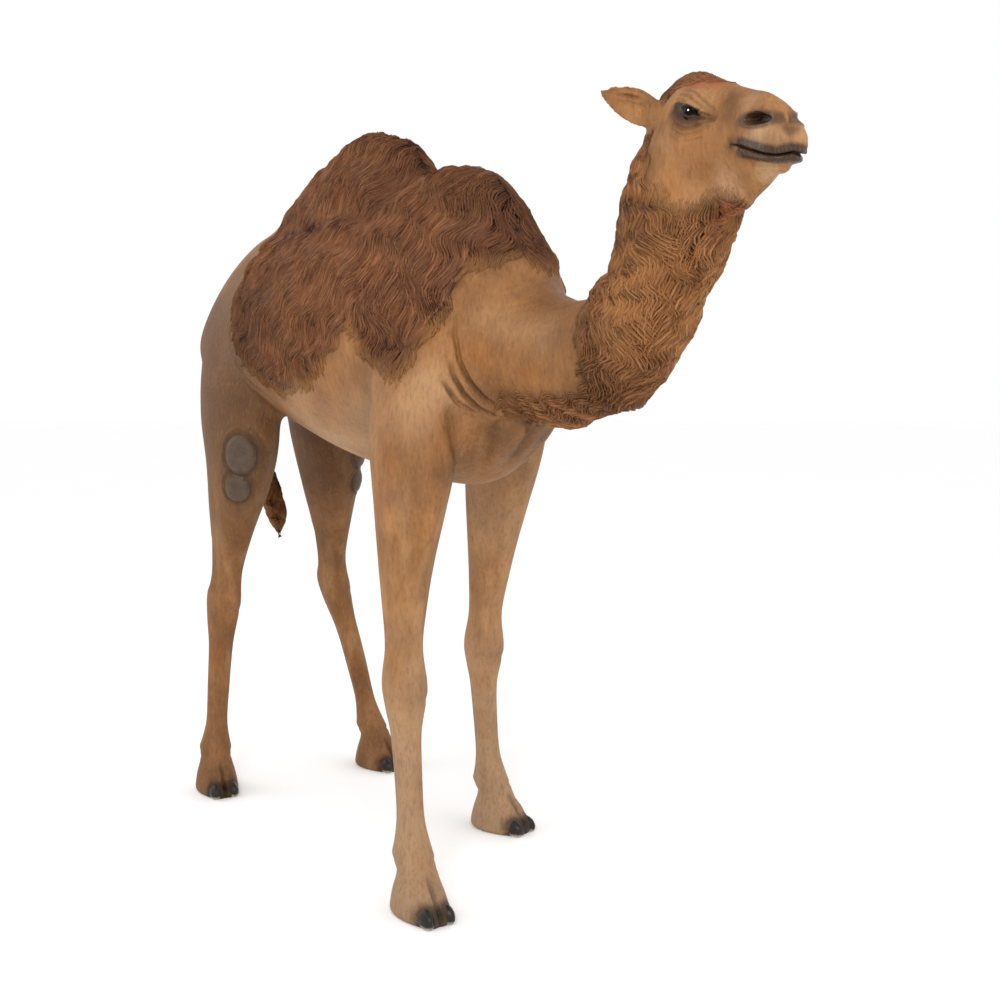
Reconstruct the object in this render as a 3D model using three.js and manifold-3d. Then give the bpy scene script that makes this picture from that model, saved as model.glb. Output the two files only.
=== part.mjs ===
// A life-size standing dromedary, made as the painted glass-fibre figure that stands in a park or a museum
// hall. Millimetres, +X forward, +Y to the animal's left, +Z up. The soles stand on Z = 0, under the middle of
// the figure's box.
import * as THREE from "three";
import { mergeVertices } from "three/addons/utils/BufferGeometryUtils.js";
import Module from "manifold-3d";

const wasm = await Module();
wasm.setup();

// ---- driving sizes ----
const GAP = 0.3; // between neighbouring parts
const HUMP_TOP = 2005;
const FOOT_AT = { // where each leg's axis meets the floor, and the degrees that its toes turn to the left
  fore_right: { at: [603, -244], turn: -3 },
  fore_left: { at: [246, 256], turn: 14 },
  hind_right: { at: [-560, -272], turn: -8 },
  hind_left: { at: [-475, 272], turn: 8 },
};
const KNEE_Z = 545;
const HOCK_Z = 610;
const FETLOCK_Z = 140;
const ELBOW_Z = 1062;
const FOOT_FRONT = 110; // from the leg's axis to the toes
const FOOT_BACK = 84;
const FOOT_WIDTH = 128;
const HEAD_AT = [1272, -2, 1765]; // the middle of the skull at the ears
const HEAD_PITCH = 11; // degrees that the muzzle dips
const HEAD_YAW = -15; // degrees that the muzzle turns to the left
const HEAD_ROLL = 3;
const EYE_RADIUS = 21;
const EYE_AT = [86, 60, 46]; // in the skull's frame, for the left eye
const EAR_AT = [-36, 68, 40];
const EAR_TOWARDS = [-112, 86, 50];
const EAR_FACES = [70, 60, -25];
const EAR_LENGTH = 138;
const NAIL = { at: [100, 32, 19], half: [25, 17, 17] }; // in the foot's frame, for the left toe
const LEG_RINGS = 18;

// ---- interpolation and lofting ----

// A smooth function through (keys[i], values[i]), by cubic pieces whose slopes come from the neighbours.
function curve(keys, values) {
  if (keys[0] > keys[1]) return curve([...keys].reverse(), [...values].reverse());
  const slope = keys.map((_, i) => {
    const a = Math.max(i - 1, 0);
    const b = Math.min(i + 1, keys.length - 1);
    return (values[b] - values[a]) / (keys[b] - keys[a]);
  });
  return (k) => {
    let i = keys.length - 2;
    while (i > 0 && k < keys[i]) i--;
    const h = keys[i + 1] - keys[i];
    const t = (k - keys[i]) / h;
    const [t2, t3] = [t * t, t * t * t];
    return (
      values[i] * (2 * t3 - 3 * t2 + 1) +
      values[i + 1] * (3 * t2 - 2 * t3) +
      slope[i] * h * (t3 - 2 * t2 + t) +
      slope[i + 1] * h * (t3 - t2)
    );
  };
}

// A closed body through sections. Each station is an object of the columns named in SECTION, with a key that
// rises or falls from one to the next. centre(k) is a section's middle and axes(k) its sideways and upward
// directions. crowd is how much the rings crowd towards the two ends.
const SECTION = ["side", "up", "down", "pinchUp", "pinchDown"];
const DOME_RINGS = 3;
function loft({ stations, keys, centre, axes, sides, rings, grow = 0, domes = [0, 0], crowd = 0 }) {
  const value = Object.fromEntries(
    SECTION.map((name) => [name, curve(keys, stations.map((s) => s[name] ?? 0))]),
  );
  const [first, last] = [keys[0], keys[keys.length - 1]];
  const [low, high] = [Math.min(first, last), Math.max(first, last)];
  const step = (last - first) * 1e-3;
  const along = (k) => {
    const inside = Math.min(Math.max(k, low + Math.abs(step)), high - Math.abs(step));
    return centre(inside + step / 2).sub(centre(inside - step / 2)).normalize();
  };
  const dome = (k, length, sign) => {
    for (let i = 1; length && i <= DOME_RINGS; i++) {
      const turn = ((i / (DOME_RINGS + 0.4)) * Math.PI) / 2;
      sections.push({ k, scale: Math.cos(turn), shift: sign * length * Math.sin(turn) });
    }
  };
  const sections = [];
  dome(first, domes[0], -1);
  sections.reverse();
  for (let i = 0; i < rings; i++) {
    const even = i / (rings - 1);
    const share = even - (crowd * Math.sin(2 * Math.PI * even)) / (2 * Math.PI);
    sections.push({ k: first + (last - first) * share, scale: 1, shift: 0 });
  }
  dome(last, domes[1], 1);
  const points = [];
  for (const { k, scale, shift } of sections) {
    const middle = centre(k).addScaledVector(along(k), shift);
    const [across, upward] = axes(k);
    const v = Object.fromEntries(SECTION.map((name) => [name, value[name](k)]));
    for (let j = 0; j < sides; j++) {
      const a = (2 * Math.PI * (j + 0.5)) / sides;
      const [c, s] = [Math.cos(a), Math.sin(a)];
      const pinch = 1 - (s > 0 ? v.pinchUp : v.pinchDown) * s * s;
      const x = (v.side + grow) * c * pinch * scale;
      const y = ((s > 0 ? v.up : v.down) + grow) * s * scale;
      points.push(middle.clone().addScaledVector(across, x).addScaledVector(upward, y));
    }
  }
  points.push(
    centre(first).addScaledVector(along(first), -(domes[0] + grow)),
    centre(last).addScaledVector(along(last), domes[1] + grow),
  );
  const count = sections.length;
  const faces = [];
  for (let i = 0; i + 1 < count; i++) {
    for (let j = 0; j < sides; j++) {
      const [a, b] = [i * sides + j, i * sides + ((j + 1) % sides)];
      faces.push(a, b, a + sides, b, b + sides, a + sides);
    }
  }
  for (let j = 0; j < sides; j++) {
    const next = (j + 1) % sides;
    const top = (count - 1) * sides;
    faces.push(count * sides, next, j, count * sides + 1, top + j, top + next);
  }
  return new THREE.BufferGeometry().setFromPoints(points).setIndex(faces);
}

// ---- solids ----

const [X, Y, Z] = [new THREE.Vector3(1, 0, 0), new THREE.Vector3(0, 1, 0), new THREE.Vector3(0, 0, 1)];

// A geometry as a manifold solid, turned the right way out.
function solid(geometry) {
  for (const name of Object.keys(geometry.attributes)) {
    if (name !== "position") geometry.deleteAttribute(name);
  }
  const merged = mergeVertices(geometry, 1e-3);
  const triVerts = new Uint32Array(merged.index.array);
  const vertProperties = merged.attributes.position.array;
  const made = new wasm.Manifold(new wasm.Mesh({ numProp: 3, vertProperties, triVerts }));
  if (made.volume() > 0) return made;
  triVerts.reverse();
  return new wasm.Manifold(new wasm.Mesh({ numProp: 3, vertProperties, triVerts }));
}

// A solid's largest separate piece.
function largest(s) {
  return s.decompose().reduce((a, b) => (b.volume() > a.volume() ? b : a));
}

// A box from its lowest to its highest corner, grown on every face.
function block(low, high, grow = 0) {
  const size = high.map((h, i) => h - low[i] + 2 * grow);
  return solid(new THREE.BoxGeometry(...size).translate(...high.map((h, i) => (h + low[i]) / 2)));
}

// The box that lies beyond a plane: its near face is square to `normal` and is centred on `at`.
function beyond({ at, normal, size, grow = 0 }) {
  const turn = new THREE.Quaternion().setFromUnitVectors(Z, new THREE.Vector3(...normal).normalize());
  const place = new THREE.Matrix4().compose(new THREE.Vector3(...at), turn, new THREE.Vector3(1, 1, 1));
  const [width, depth, height] = size;
  const box = new THREE.BoxGeometry(width, depth, height + 2 * grow).translate(0, 0, height / 2);
  return solid(box.applyMatrix4(place));
}

// An ellipsoid of the given half sizes, at its place in a frame.
function ellipsoid(half, at, frame, grow = 0, detail = [12, 8]) {
  const ball = new THREE.SphereGeometry(1, ...detail).scale(...half.map((h) => h + grow));
  return solid(ball.translate(...at).applyMatrix4(frame));
}

// A frame from its place and the directions of its X and Z axes.
function frameOf(at, x, z) {
  const ahead = new THREE.Vector3(...x).normalize();
  const across = new THREE.Vector3(...z).cross(ahead).normalize();
  const upward = ahead.clone().cross(across);
  return new THREE.Matrix4().makeBasis(ahead, across, upward).setPosition(...at);
}

const SIDES = { right: -1, left: 1 };
const mirrored = ([x, y, z], side) => [x, y * SIDES[side], z];

// ---- trunk and hump ----

// Sections across X: how high the back and the belly are, how high the widest level is, and how wide the body
// is there.
const TRUNK = [
  { x: -890, back: 1540, belly: 1362, middle: 1450, half: 108 },
  { x: -850, back: 1582, belly: 1295, middle: 1435, half: 156 },
  { x: -780, back: 1646, belly: 1220, middle: 1415, half: 207 },
  { x: -640, back: 1768, belly: 1190, middle: 1415, half: 240 },
  { x: -450, back: 1800, belly: 1205, middle: 1430, half: 252 },
  { x: -250, back: 1815, belly: 1150, middle: 1410, half: 278 },
  { x: 0, back: 1835, belly: 1085, middle: 1395, half: 296 },
  { x: 230, back: 1814, belly: 1048, middle: 1400, half: 286 },
  { x: 420, back: 1846, belly: 1032, middle: 1400, half: 264 },
  { x: 560, back: 1816, belly: 1042, middle: 1390, half: 226 },
  { x: 680, back: 1706, belly: 1118, middle: 1370, half: 172 },
  { x: 770, back: 1540, belly: 1196, middle: 1350, half: 124 },
  { x: 850, back: 1460, belly: 1238, middle: 1340, half: 84 },
];
const HUMP = [
  { x: -640, top: 1776, half: 66 },
  { x: -450, top: 1874, half: 116 },
  { x: -270, top: 1944, half: 152 },
  { x: -100, top: HUMP_TOP - 16, half: 175 },
  { x: 10, top: HUMP_TOP, half: 180 },
  { x: 120, top: HUMP_TOP - 22, half: 172 },
  { x: 220, top: 1936, half: 150 },
  { x: 318, top: 1850, half: 104 },
];
const HUMP_FOOT = 1560; // the level where the hump's sections start, inside the trunk
const HUMP_FROM = 1760; // the level above which the hump is a part of its own

function trunk(grow = 0) {
  const middle = curve(TRUNK.map((s) => s.x), TRUNK.map((s) => s.middle));
  return solid(
    loft({
      stations: TRUNK.map((s) => ({
        side: s.half,
        up: s.back - s.middle,
        down: s.middle - s.belly,
        pinchUp: 0.3,
        pinchDown: 0.06,
      })),
      keys: TRUNK.map((s) => s.x),
      centre: (x) => new THREE.Vector3(x, 0, middle(x)),
      axes: () => [Y, Z],
      sides: 20,
      rings: 18,
      domes: [36, 20],
      crowd: 0.5,
      grow,
    }),
  );
}

function hump() {
  return solid(
    loft({
      stations: HUMP.map((s) => ({ side: s.half, up: s.top - HUMP_FOOT, down: 100, pinchUp: 0.32 })),
      keys: HUMP.map((s) => s.x),
      centre: (x) => new THREE.Vector3(x, 0, HUMP_FOOT),
      axes: () => [Y, Z],
      sides: 18,
      rings: 11,
      domes: [90, 50],
    }),
  );
}

// ---- neck ----

// The neck's line from inside the chest to inside the skull, with its half width and its half depths over
// and under the line.
const NECK = [
  { at: [500, 0, 1400], side: 130, up: 170, down: 190 },
  { at: [640, 0, 1385], side: 142, up: 175, down: 182 },
  { at: [770, 0, 1350], side: 130, up: 158, down: 152 },
  { at: [895, 0, 1333], side: 113, up: 140, down: 145 },
  { at: [1018, 0, 1354], side: 106, up: 128, down: 135 },
  { at: [1110, 0, 1420], side: 106, up: 112, down: 120 },
  { at: [1172, 0, 1515], side: 104, up: 105, down: 114 },
  { at: [1210, 0, 1620], side: 114, up: 108, down: 144 },
  { at: [1234, 0, 1700], side: 108, up: 108, down: 144 },
  { at: [1254, 0, 1765], side: 88, up: 92, down: 116 },
];
const CHEST_CUT = 2.4; // stations where the chest ends and where the neck turns upward
const BEND_CUT = 4.7;

const neckKeys = NECK.map((_, i) => i);
const neckAxis = [0, 1, 2].map((c) => curve(neckKeys, NECK.map((s) => s.at[c])));
const neckAt = (k) => new THREE.Vector3(...neckAxis.map((f) => f(k)));
const neckAlong = (k) => {
  const inside = Math.min(Math.max(k, 0.01), NECK.length - 1.01);
  return neckAt(inside + 0.01).sub(neckAt(inside - 0.01)).normalize();
};
const neckAxes = (k) => [Y, new THREE.Vector3().crossVectors(neckAlong(k), Y)];

function neck(grow = 0) {
  return solid(
    loft({
      grow,
      stations: NECK,
      keys: neckKeys,
      centre: neckAt,
      axes: neckAxes,
      sides: 18,
      rings: 17,
      domes: [0, 30],
    }),
  );
}

// ---- head ----

// The skull's frame: +X to the muzzle, +Y to the left, +Z to the crown.
const headFrame = new THREE.Matrix4().compose(
  new THREE.Vector3(...HEAD_AT),
  new THREE.Quaternion().setFromEuler(
    new THREE.Euler(...[HEAD_ROLL, HEAD_PITCH, HEAD_YAW].map(THREE.MathUtils.degToRad), "ZYX"),
  ),
  new THREE.Vector3(1, 1, 1),
);
const HEAD = [
  { x: -92, top: 96, low: -95, half: 62, level: 0, pinchUp: 0.26, pinchDown: 0.3 },
  { x: -45, top: 123, low: -138, half: 84, level: 0, pinchUp: 0.26, pinchDown: 0.3 },
  { x: 15, top: 127, low: -158, half: 86, level: 0, pinchUp: 0.26, pinchDown: 0.3 },
  { x: 70, top: 115, low: -160, half: 80, level: 5, pinchUp: 0.22, pinchDown: 0.34 },
  { x: 130, top: 96, low: -146, half: 66, level: 5, pinchUp: 0.22, pinchDown: 0.4 },
  { x: 190, top: 85, low: -128, half: 51, level: 5, pinchUp: 0.25, pinchDown: 0.42 },
  { x: 240, top: 78, low: -98, half: 45, level: 3, pinchUp: 0.34, pinchDown: 0.36 },
  { x: 286, top: 62, low: -70, half: 44, level: -8, pinchUp: 0.44, pinchDown: 0.28 },
];
// Where the left half of the head swells or sinks: around a point, by a push, as far as a reach.
const HEAD_SWELLS = [
  { at: [92, 66, 66], by: [0, 14, 10], reach: 34 }, // brow
  { at: [86, 78, 38], by: [0, -7, 0], reach: 24 }, // eye socket
  { at: [50, 84, -60], by: [0, 12, 0], reach: 62 }, // cheek
  { at: [178, 60, 38], by: [0, -8, 0], reach: 42 }, // hollow of the face
  { at: [322, 22, -4], by: [10, 7, -2], reach: 26 }, // upper lip
  { at: [326, 0, 40], by: [-13, 0, -4], reach: 28 }, // set back of the nose over the lip
  { at: [282, 36, 40], by: [0, 6, 4], reach: 26 }, // rim of the nostril
  { at: [250, 42, -34], by: [0, -6, 0], reach: 34 }, // between the lips and the jaw
];
const MOUTH = { corner: 214, level: -19, open: 3.5 }; // the slit between the lips

// Pushes a geometry's points outward or inward around the given places, on both sides.
function swell(geometry, swells) {
  const position = geometry.attributes.position;
  const p = new THREE.Vector3();
  for (let i = 0; i < position.count; i++) {
    p.fromBufferAttribute(position, i);
    const [from, move] = [p.clone().setY(Math.abs(p.y)), new THREE.Vector3()];
    for (const { at, by, reach } of swells) {
      const share = Math.exp(-from.distanceToSquared(new THREE.Vector3(...at)) / reach ** 2);
      move.addScaledVector(new THREE.Vector3(by[0], Math.sign(p.y) * by[1], by[2]), share);
    }
    p.add(move);
    position.setXYZ(i, p.x, p.y, p.z);
  }
  return geometry;
}

function head(grow = 0) {
  const level = curve(HEAD.map((s) => s.x), HEAD.map((s) => s.level));
  const shape = loft({
    stations: HEAD.map((s) => ({
      side: s.half,
      up: s.top - s.level,
      down: s.level - s.low,
      pinchUp: s.pinchUp,
      pinchDown: s.pinchDown,
    })),
    keys: HEAD.map((s) => s.x),
    centre: (x) => new THREE.Vector3(x, 0, level(x)),
    axes: () => [Y, Z],
    sides: 16,
    rings: 16,
    domes: [25, 46],
    grow,
  });
  const slit = new THREE.Shape([
    new THREE.Vector2(MOUTH.corner, MOUTH.level),
    new THREE.Vector2(MOUTH.corner + 160, MOUTH.level - MOUTH.open),
    new THREE.Vector2(MOUTH.corner + 160, MOUTH.level + MOUTH.open),
  ]);
  const prism = new THREE.ExtrudeGeometry(slit, { depth: 200, bevelEnabled: false });
  prism.translate(0, 0, -100).rotateX(Math.PI / 2);
  const skull = solid(swell(shape, HEAD_SWELLS).applyMatrix4(headFrame));
  return skull.subtract(solid(prism.applyMatrix4(headFrame)));
}

// An ear: a leaf whose front folds inward as a cup. `front` and `back` are how far its two faces stand from
// its middle plane.
const EAR = [
  { along: -20, wide: 20, front: 15, back: 15 },
  { along: 12, wide: 27, front: 9, back: 17 },
  { along: 40, wide: 35, front: -9, back: 16 },
  { along: 62, wide: 36, front: -10, back: 15 },
  { along: 90, wide: 30, front: -7, back: 12 },
  { along: 116, wide: 19, front: -3, back: 8 },
  { along: EAR_LENGTH, wide: 5, front: 0, back: 4 },
];

function ear(side) {
  const frame = headFrame.clone().multiply(
    frameOf(mirrored(EAR_AT, side), mirrored(EAR_TOWARDS, side), mirrored(EAR_FACES, side)),
  );
  const leaf = loft({
    stations: EAR.map((s) => ({ side: s.wide, up: s.front, down: s.back })),
    keys: EAR.map((s) => s.along),
    centre: (x) => new THREE.Vector3(x, 0, 0),
    axes: () => [Y, Z],
    sides: 10,
    rings: 9,
    domes: [0, 3],
  });
  return largest(solid(leaf.applyMatrix4(frame)).subtract(head(GAP)).subtract(neck(GAP)));
}

// ---- legs ----

// Sections across Z, from the shoulder to the fetlock: half sizes ahead of and behind the leg's line, and
// sideways.
const FORELEG = [
  { z: 1540, front: 90, back: 90, half: 34 },
  { z: 1400, front: 140, back: 135, half: 66 },
  { z: 1250, front: 150, back: 145, half: 84 },
  { z: 1100, front: 137, back: 137, half: 88 },
  { z: 970, front: 109, back: 112, half: 76 },
  { z: 850, front: 84, back: 84, half: 63 },
  { z: 740, front: 64, back: 62, half: 53 },
  { z: 640, front: 52, back: 52, half: 46 },
  { z: KNEE_Z, front: 66, back: 62, half: 54 },
  { z: 490, front: 56, back: 52, half: 48 },
  { z: 430, front: 42, back: 44, half: 38 },
  { z: 320, front: 38, back: 40, half: 33 },
  { z: 220, front: 39, back: 40, half: 34 },
  { z: FETLOCK_Z + 22, front: 52, back: 54, half: 43 },
  { z: FETLOCK_Z - 4, front: 56, back: 66, half: 49 },
  { z: 98, front: 48, back: 56, half: 45 },
];
const HINDLEG = [
  { z: 1560, front: 110, back: 120, half: 40 },
  { z: 1440, front: 170, back: 192, half: 86 },
  { z: 1320, front: 185, back: 202, half: 102 },
  { z: 1200, front: 182, back: 200, half: 105 },
  { z: 1090, front: 160, back: 176, half: 99 },
  { z: 950, front: 128, back: 128, half: 82 },
  { z: 820, front: 88, back: 92, half: 58 },
  { z: 705, front: 57, back: 60, half: 46 },
  { z: HOCK_Z + 30, front: 60, back: 78, half: 48 },
  { z: HOCK_Z, front: 66, back: 80, half: 50 },
  { z: 545, front: 56, back: 62, half: 46 },
  { z: 470, front: 44, back: 46, half: 38 },
  { z: 330, front: 40, back: 41, half: 34 },
  { z: 220, front: 39, back: 40, half: 33 },
  { z: FETLOCK_Z + 22, front: 50, back: 54, half: 42 },
  { z: FETLOCK_Z - 4, front: 56, back: 66, half: 48 },
  { z: 98, front: 48, back: 56, half: 44 },
];

// A leg's line: X and Y at each height, from the shoulder or the hip down to its place on the floor.
function legLine(name, points) {
  const all = [...points, [...FOOT_AT[name].at, 98]];
  const [x, y] = [0, 1].map((c) => curve(all.map((p) => p[2]), all.map((p) => p[c])));
  return (z) => new THREE.Vector3(x(z), y(z), z);
}

const LEG_POINTS = {
  fore_right: [
    [520, -150, 1540], [535, -178, 1400], [518, -198, 1200], [525, -206, 1050], [514, -220, 800],
    [520, -228, KNEE_Z], [550, -236, 330], [579, -242, FETLOCK_Z],
  ],
  fore_left: [
    [460, 150, 1540], [432, 178, 1400], [376, 196, 1200], [340, 202, 1050], [282, 208, 800],
    [239, 214, KNEE_Z], [224, 232, 330], [227, 250, FETLOCK_Z],
  ],
  hind_right: [
    [-620, -120, 1560], [-590, -150, 1400], [-526, -180, 1200], [-496, -195, 1050], [-530, -212, 850],
    [-572, -228, HOCK_Z], [-568, -250, 400], [-570, -268, FETLOCK_Z],
  ],
  hind_left: [
    [-620, 120, 1560], [-618, 150, 1400], [-634, 176, 1200], [-640, 190, 1050], [-672, 214, 850],
    [-696, 236, HOCK_Z], [-608, 254, 400], [-500, 268, FETLOCK_Z],
  ],
};
const LINES = Object.fromEntries(
  Object.entries(LEG_POINTS).map(([name, points]) => [name, legLine(name, points)]),
);

function leg(name, stations) {
  return solid(
    loft({
      stations: stations.map((s) => ({ side: s.half, up: s.front, down: s.back })),
      keys: stations.map((s) => s.z),
      centre: LINES[name],
      axes: () => [Y, X],
      sides: 12,
      rings: LEG_RINGS,
      domes: [30, 20],
    }),
  );
}

// The foot: a bell over a flat sole, longer in front of the leg than behind it, with the toes parted by a
// cleft.
const FOOT = [
  { z: 118, front: 44, back: 54, half: 43 },
  { z: 90, front: 54, back: 62, half: 50 },
  { z: 55, front: 82, back: 74, half: 59 },
  { z: 26, front: FOOT_FRONT - 6, back: FOOT_BACK - 2, half: 0.5 * FOOT_WIDTH - 1 },
  { z: 8, front: FOOT_FRONT, back: FOOT_BACK, half: 0.5 * FOOT_WIDTH },
  { z: 0, front: FOOT_FRONT - 6, back: FOOT_BACK - 6, half: 0.5 * FOOT_WIDTH - 5 },
];
const CLEFT = { from: 62, width: 15, top: 92 };

const footFrame = (name) => {
  const { at, turn } = FOOT_AT[name];
  return new THREE.Matrix4().makeRotationZ(THREE.MathUtils.degToRad(turn)).setPosition(...at, 0);
};

function foot(name) {
  const bell = loft({
    stations: FOOT.map((s) => ({ side: s.half, up: s.front, down: s.back })),
    keys: FOOT.map((s) => s.z),
    centre: (z) => new THREE.Vector3(0, 0, z),
    axes: () => [Y, X],
    sides: 12,
    rings: 6,
    domes: [0, 0],
  });
  const wedge = new THREE.Shape([
    new THREE.Vector2(CLEFT.from, 0),
    new THREE.Vector2(FOOT_FRONT + 20, -CLEFT.width / 2),
    new THREE.Vector2(FOOT_FRONT + 20, CLEFT.width / 2),
  ]);
  const cleft = new THREE.ExtrudeGeometry(wedge, { depth: CLEFT.top + 10, bevelEnabled: false });
  cleft.translate(0, 0, -10);
  const frame = footFrame(name);
  return solid(bell.applyMatrix4(frame)).subtract(solid(cleft.applyMatrix4(frame)));
}

const nail = (name, side, grow = 0) =>
  ellipsoid(NAIL.half, mirrored(NAIL.at, side), footFrame(name), grow, [8, 4]);

// ---- tail and leather pads ----

const TAIL = [
  { at: [-880, 0, 1540], side: 30 },
  { at: [-925, 8, 1440], side: 30 },
  { at: [-926, 28, 1320], side: 25 },
  { at: [-900, 44, 1180], side: 22 },
  { at: [-868, 58, 1040], side: 23 },
  { at: [-842, 70, 930], side: 36 },
  { at: [-822, 78, 840], side: 38 },
  { at: [-806, 82, 770], side: 16 },
];
const TUFT_FROM = 4.6; // the station where the tail's tuft starts

function tail() {
  const keys = TAIL.map((_, i) => i);
  const axis = [0, 1, 2].map((c) => curve(keys, TAIL.map((s) => s.at[c])));
  return solid(
    loft({
      stations: TAIL.map((s) => ({ side: s.side, up: s.side, down: s.side })),
      keys,
      centre: (k) => new THREE.Vector3(...axis.map((f) => f(k))),
      axes: () => [Y, X],
      sides: 8,
      rings: 12,
      domes: [0, 20],
    }),
  );
}

// The bare leathery pads on the stifles: how high each one is, the way that it faces and how far it stands
// out of the leg.
const PADS = [
  { z: 1083, faces: [0.6, 0.8], half: [64, 52, 26], out: 13 },
  { z: 985, faces: [0.6, 0.8], half: [48, 42, 22], out: 10 },
];

function pad({ z, faces, half, out }, side, grow = 0) {
  const size = (column) => curve(HINDLEG.map((s) => s.z), HINDLEG.map((s) => s[column]))(z);
  const reach = new THREE.Vector2(size("front") * faces[0], size("half") * faces[1]);
  const [x, y] = [(size("front") * reach.x) / reach.length(), (size("half") * reach.y) / reach.length()];
  const normal = mirrored([...faces, 0], side);
  const at = LINES[`hind_${side}`](z)
    .add(new THREE.Vector3(...mirrored([x, y, 0], side)))
    .addScaledVector(new THREE.Vector3(...normal), out - half[2]);
  return ellipsoid(half, [0, 0, 0], frameOf(at.toArray(), [0, 0, 1], normal), grow, [8, 6]);
}

// ---- joining the figure and parting it into its pieces ----

const parts = new Map();
let figure = trunk().add(hump()).add(neck()).add(head());
for (const name of Object.keys(LINES)) {
  const fore = name.startsWith("fore");
  figure = figure.add(leg(name, fore ? FORELEG : HINDLEG)).add(foot(name));
}

// Cuts a region out of the figure as a part of its own. region(grow) is the same space, grown by the gap.
function part(name, region) {
  parts.set(name, largest(figure.intersect(region(0))));
  figure = largest(figure.subtract(region(GAP)));
}

const HEAD_CUT = { at: [1235, 0, 1640], normal: [0.5, 0, 0.87], size: [800, 460, 460] };
part("head", (grow) => beyond({ ...HEAD_CUT, grow }));
const neckCut = (k, size) => (grow) =>
  beyond({ at: neckAt(k).toArray(), normal: neckAlong(k).toArray(), size, grow });
part("neck_upper", neckCut(BEND_CUT, [440, 440, 420]));
part("neck_lower", neckCut(CHEST_CUT, [520, 520, 600]));
part("hump", (grow) => block([-680, -320, HUMP_FROM], [332, 320, HUMP_TOP + 100], grow));

// The space that a leg is cut out of: its reach ahead and behind, and how near it comes to the middle of the
// body.
const LEG_REACH = 400;
const LEG_INNER = { fore: 100, hind: 60 };
const LEG_OUTER = 420;
const THIGH = { ahead: 192, behind: 420, half: 185, level: 1240, normal: [-0.3, 0.82, -0.48] };
for (const [name, line] of Object.entries(LINES)) {
  const [end, side] = name.split("_");
  const sign = SIDES[side];
  const { x } = line(ELBOW_Z);
  const under = (top) => (grow) => {
    const [low, high] = [sign * LEG_INNER[end], sign * LEG_OUTER].sort((a, b) => a - b);
    return block([x - LEG_REACH, low, -20], [x + LEG_REACH, high, top], grow);
  };
  const thigh = (grow) =>
    beyond({
      at: [x + (THIGH.ahead - THIGH.behind) / 2, sign * THIGH.half, THIGH.level],
      normal: mirrored(THIGH.normal, side),
      size: [THIGH.ahead + THIGH.behind, 1100, 1500],
      grow,
    });
  part(`${name}_foot`, under(FETLOCK_Z));
  part(`${name}_lower`, under(end === "fore" ? KNEE_Z : HOCK_Z));
  part(`${name}_upper`, end === "fore" ? under(ELBOW_Z) : thigh);
}
parts.set("trunk", figure);

// Fits a separate piece into the part that holds it.
function inset(name, host, piece) {
  parts.set(host, largest(parts.get(host).subtract(piece(GAP))));
  parts.set(name, largest(piece(0)));
}

for (const side in SIDES) {
  parts.set(`ear_${side}`, ear(side));
  const ball = [EYE_RADIUS, EYE_RADIUS, EYE_RADIUS];
  const eye = (grow) => ellipsoid(ball, mirrored(EYE_AT, side), headFrame, grow, [8, 6]);
  inset(`eye_${side}`, "head", eye);
  const [upper, lower] = PADS;
  const host = `hind_${side}_upper`;
  inset(`stifle_pad_${side}_upper`, host, (grow) => pad(upper, side, grow));
  inset(`stifle_pad_${side}_lower`, host, (grow) => pad(lower, side, grow).subtract(pad(upper, side, GAP)));
}
for (const name of Object.keys(LINES)) {
  for (const side in SIDES) inset(`${name}_nail_${side}`, `${name}_foot`, (grow) => nail(name, side, grow));
}
const wholeTail = largest(tail().subtract(trunk(GAP)));
const tuftTop = TAIL[4].at[2] - (TUFT_FROM - 4) * (TAIL[4].at[2] - TAIL[5].at[2]);
const below = (grow) => block([-1000, -100, 600], [-700, 300, tuftTop], grow);
parts.set("tail", largest(wholeTail.subtract(below(GAP))));
parts.set("tail_tuft", wholeTail.intersect(below(0)));

// ---- the scene graph ----

const paint = (color, roughness) => ({ color, roughness, metalness: 0 });
const PAINT = {
  wool: paint(0x7a4c2c, 0.75),
  hide: paint(0xa67c50, 0.6),
  foot: paint(0x8a6848, 0.6),
  horn: paint(0x2b2623, 0.35),
  gloss: paint(0x14100e, 0.08),
  leather: paint(0x5d5348, 0.55),
};
const PAINT_OF = [
  [/^eye/, "gloss"],
  [/nail/, "horn"],
  [/pad/, "leather"],
  [/foot/, "foot"],
  [/^(hump|neck|tail)/, "wool"],
  [/./, "hide"],
];

// A manifold solid as a named mesh.
function mesh(name, s) {
  const made = s.getMesh();
  const position = new Float32Array(made.numVert * 3);
  for (let i = 0; i < made.numVert; i++) {
    position.set(made.vertProperties.subarray(i * made.numProp, i * made.numProp + 3), i * 3);
  }
  const geometry = new THREE.BufferGeometry()
    .setAttribute("position", new THREE.BufferAttribute(position, 3))
    .setIndex(new THREE.BufferAttribute(made.triVerts, 1));
  geometry.computeVertexNormals();
  const kind = PAINT_OF.find(([pattern]) => pattern.test(name))[1];
  const object = new THREE.Mesh(geometry, new THREE.MeshStandardMaterial(PAINT[kind]));
  object.name = name;
  return object;
}

const camel = new THREE.Group();
for (const [name, s] of parts) camel.add(mesh(name, s));

// The middle of the box is over the origin.
const middle = new THREE.Box3().setFromObject(camel).getCenter(new THREE.Vector3());
for (const child of camel.children) child.geometry.translate(-middle.x, -middle.y, 0);

export default camel;
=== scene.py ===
import math

import bmesh
import bpy
import numpy as np
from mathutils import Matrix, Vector
from mathutils.bvhtree import BVHTree


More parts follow.
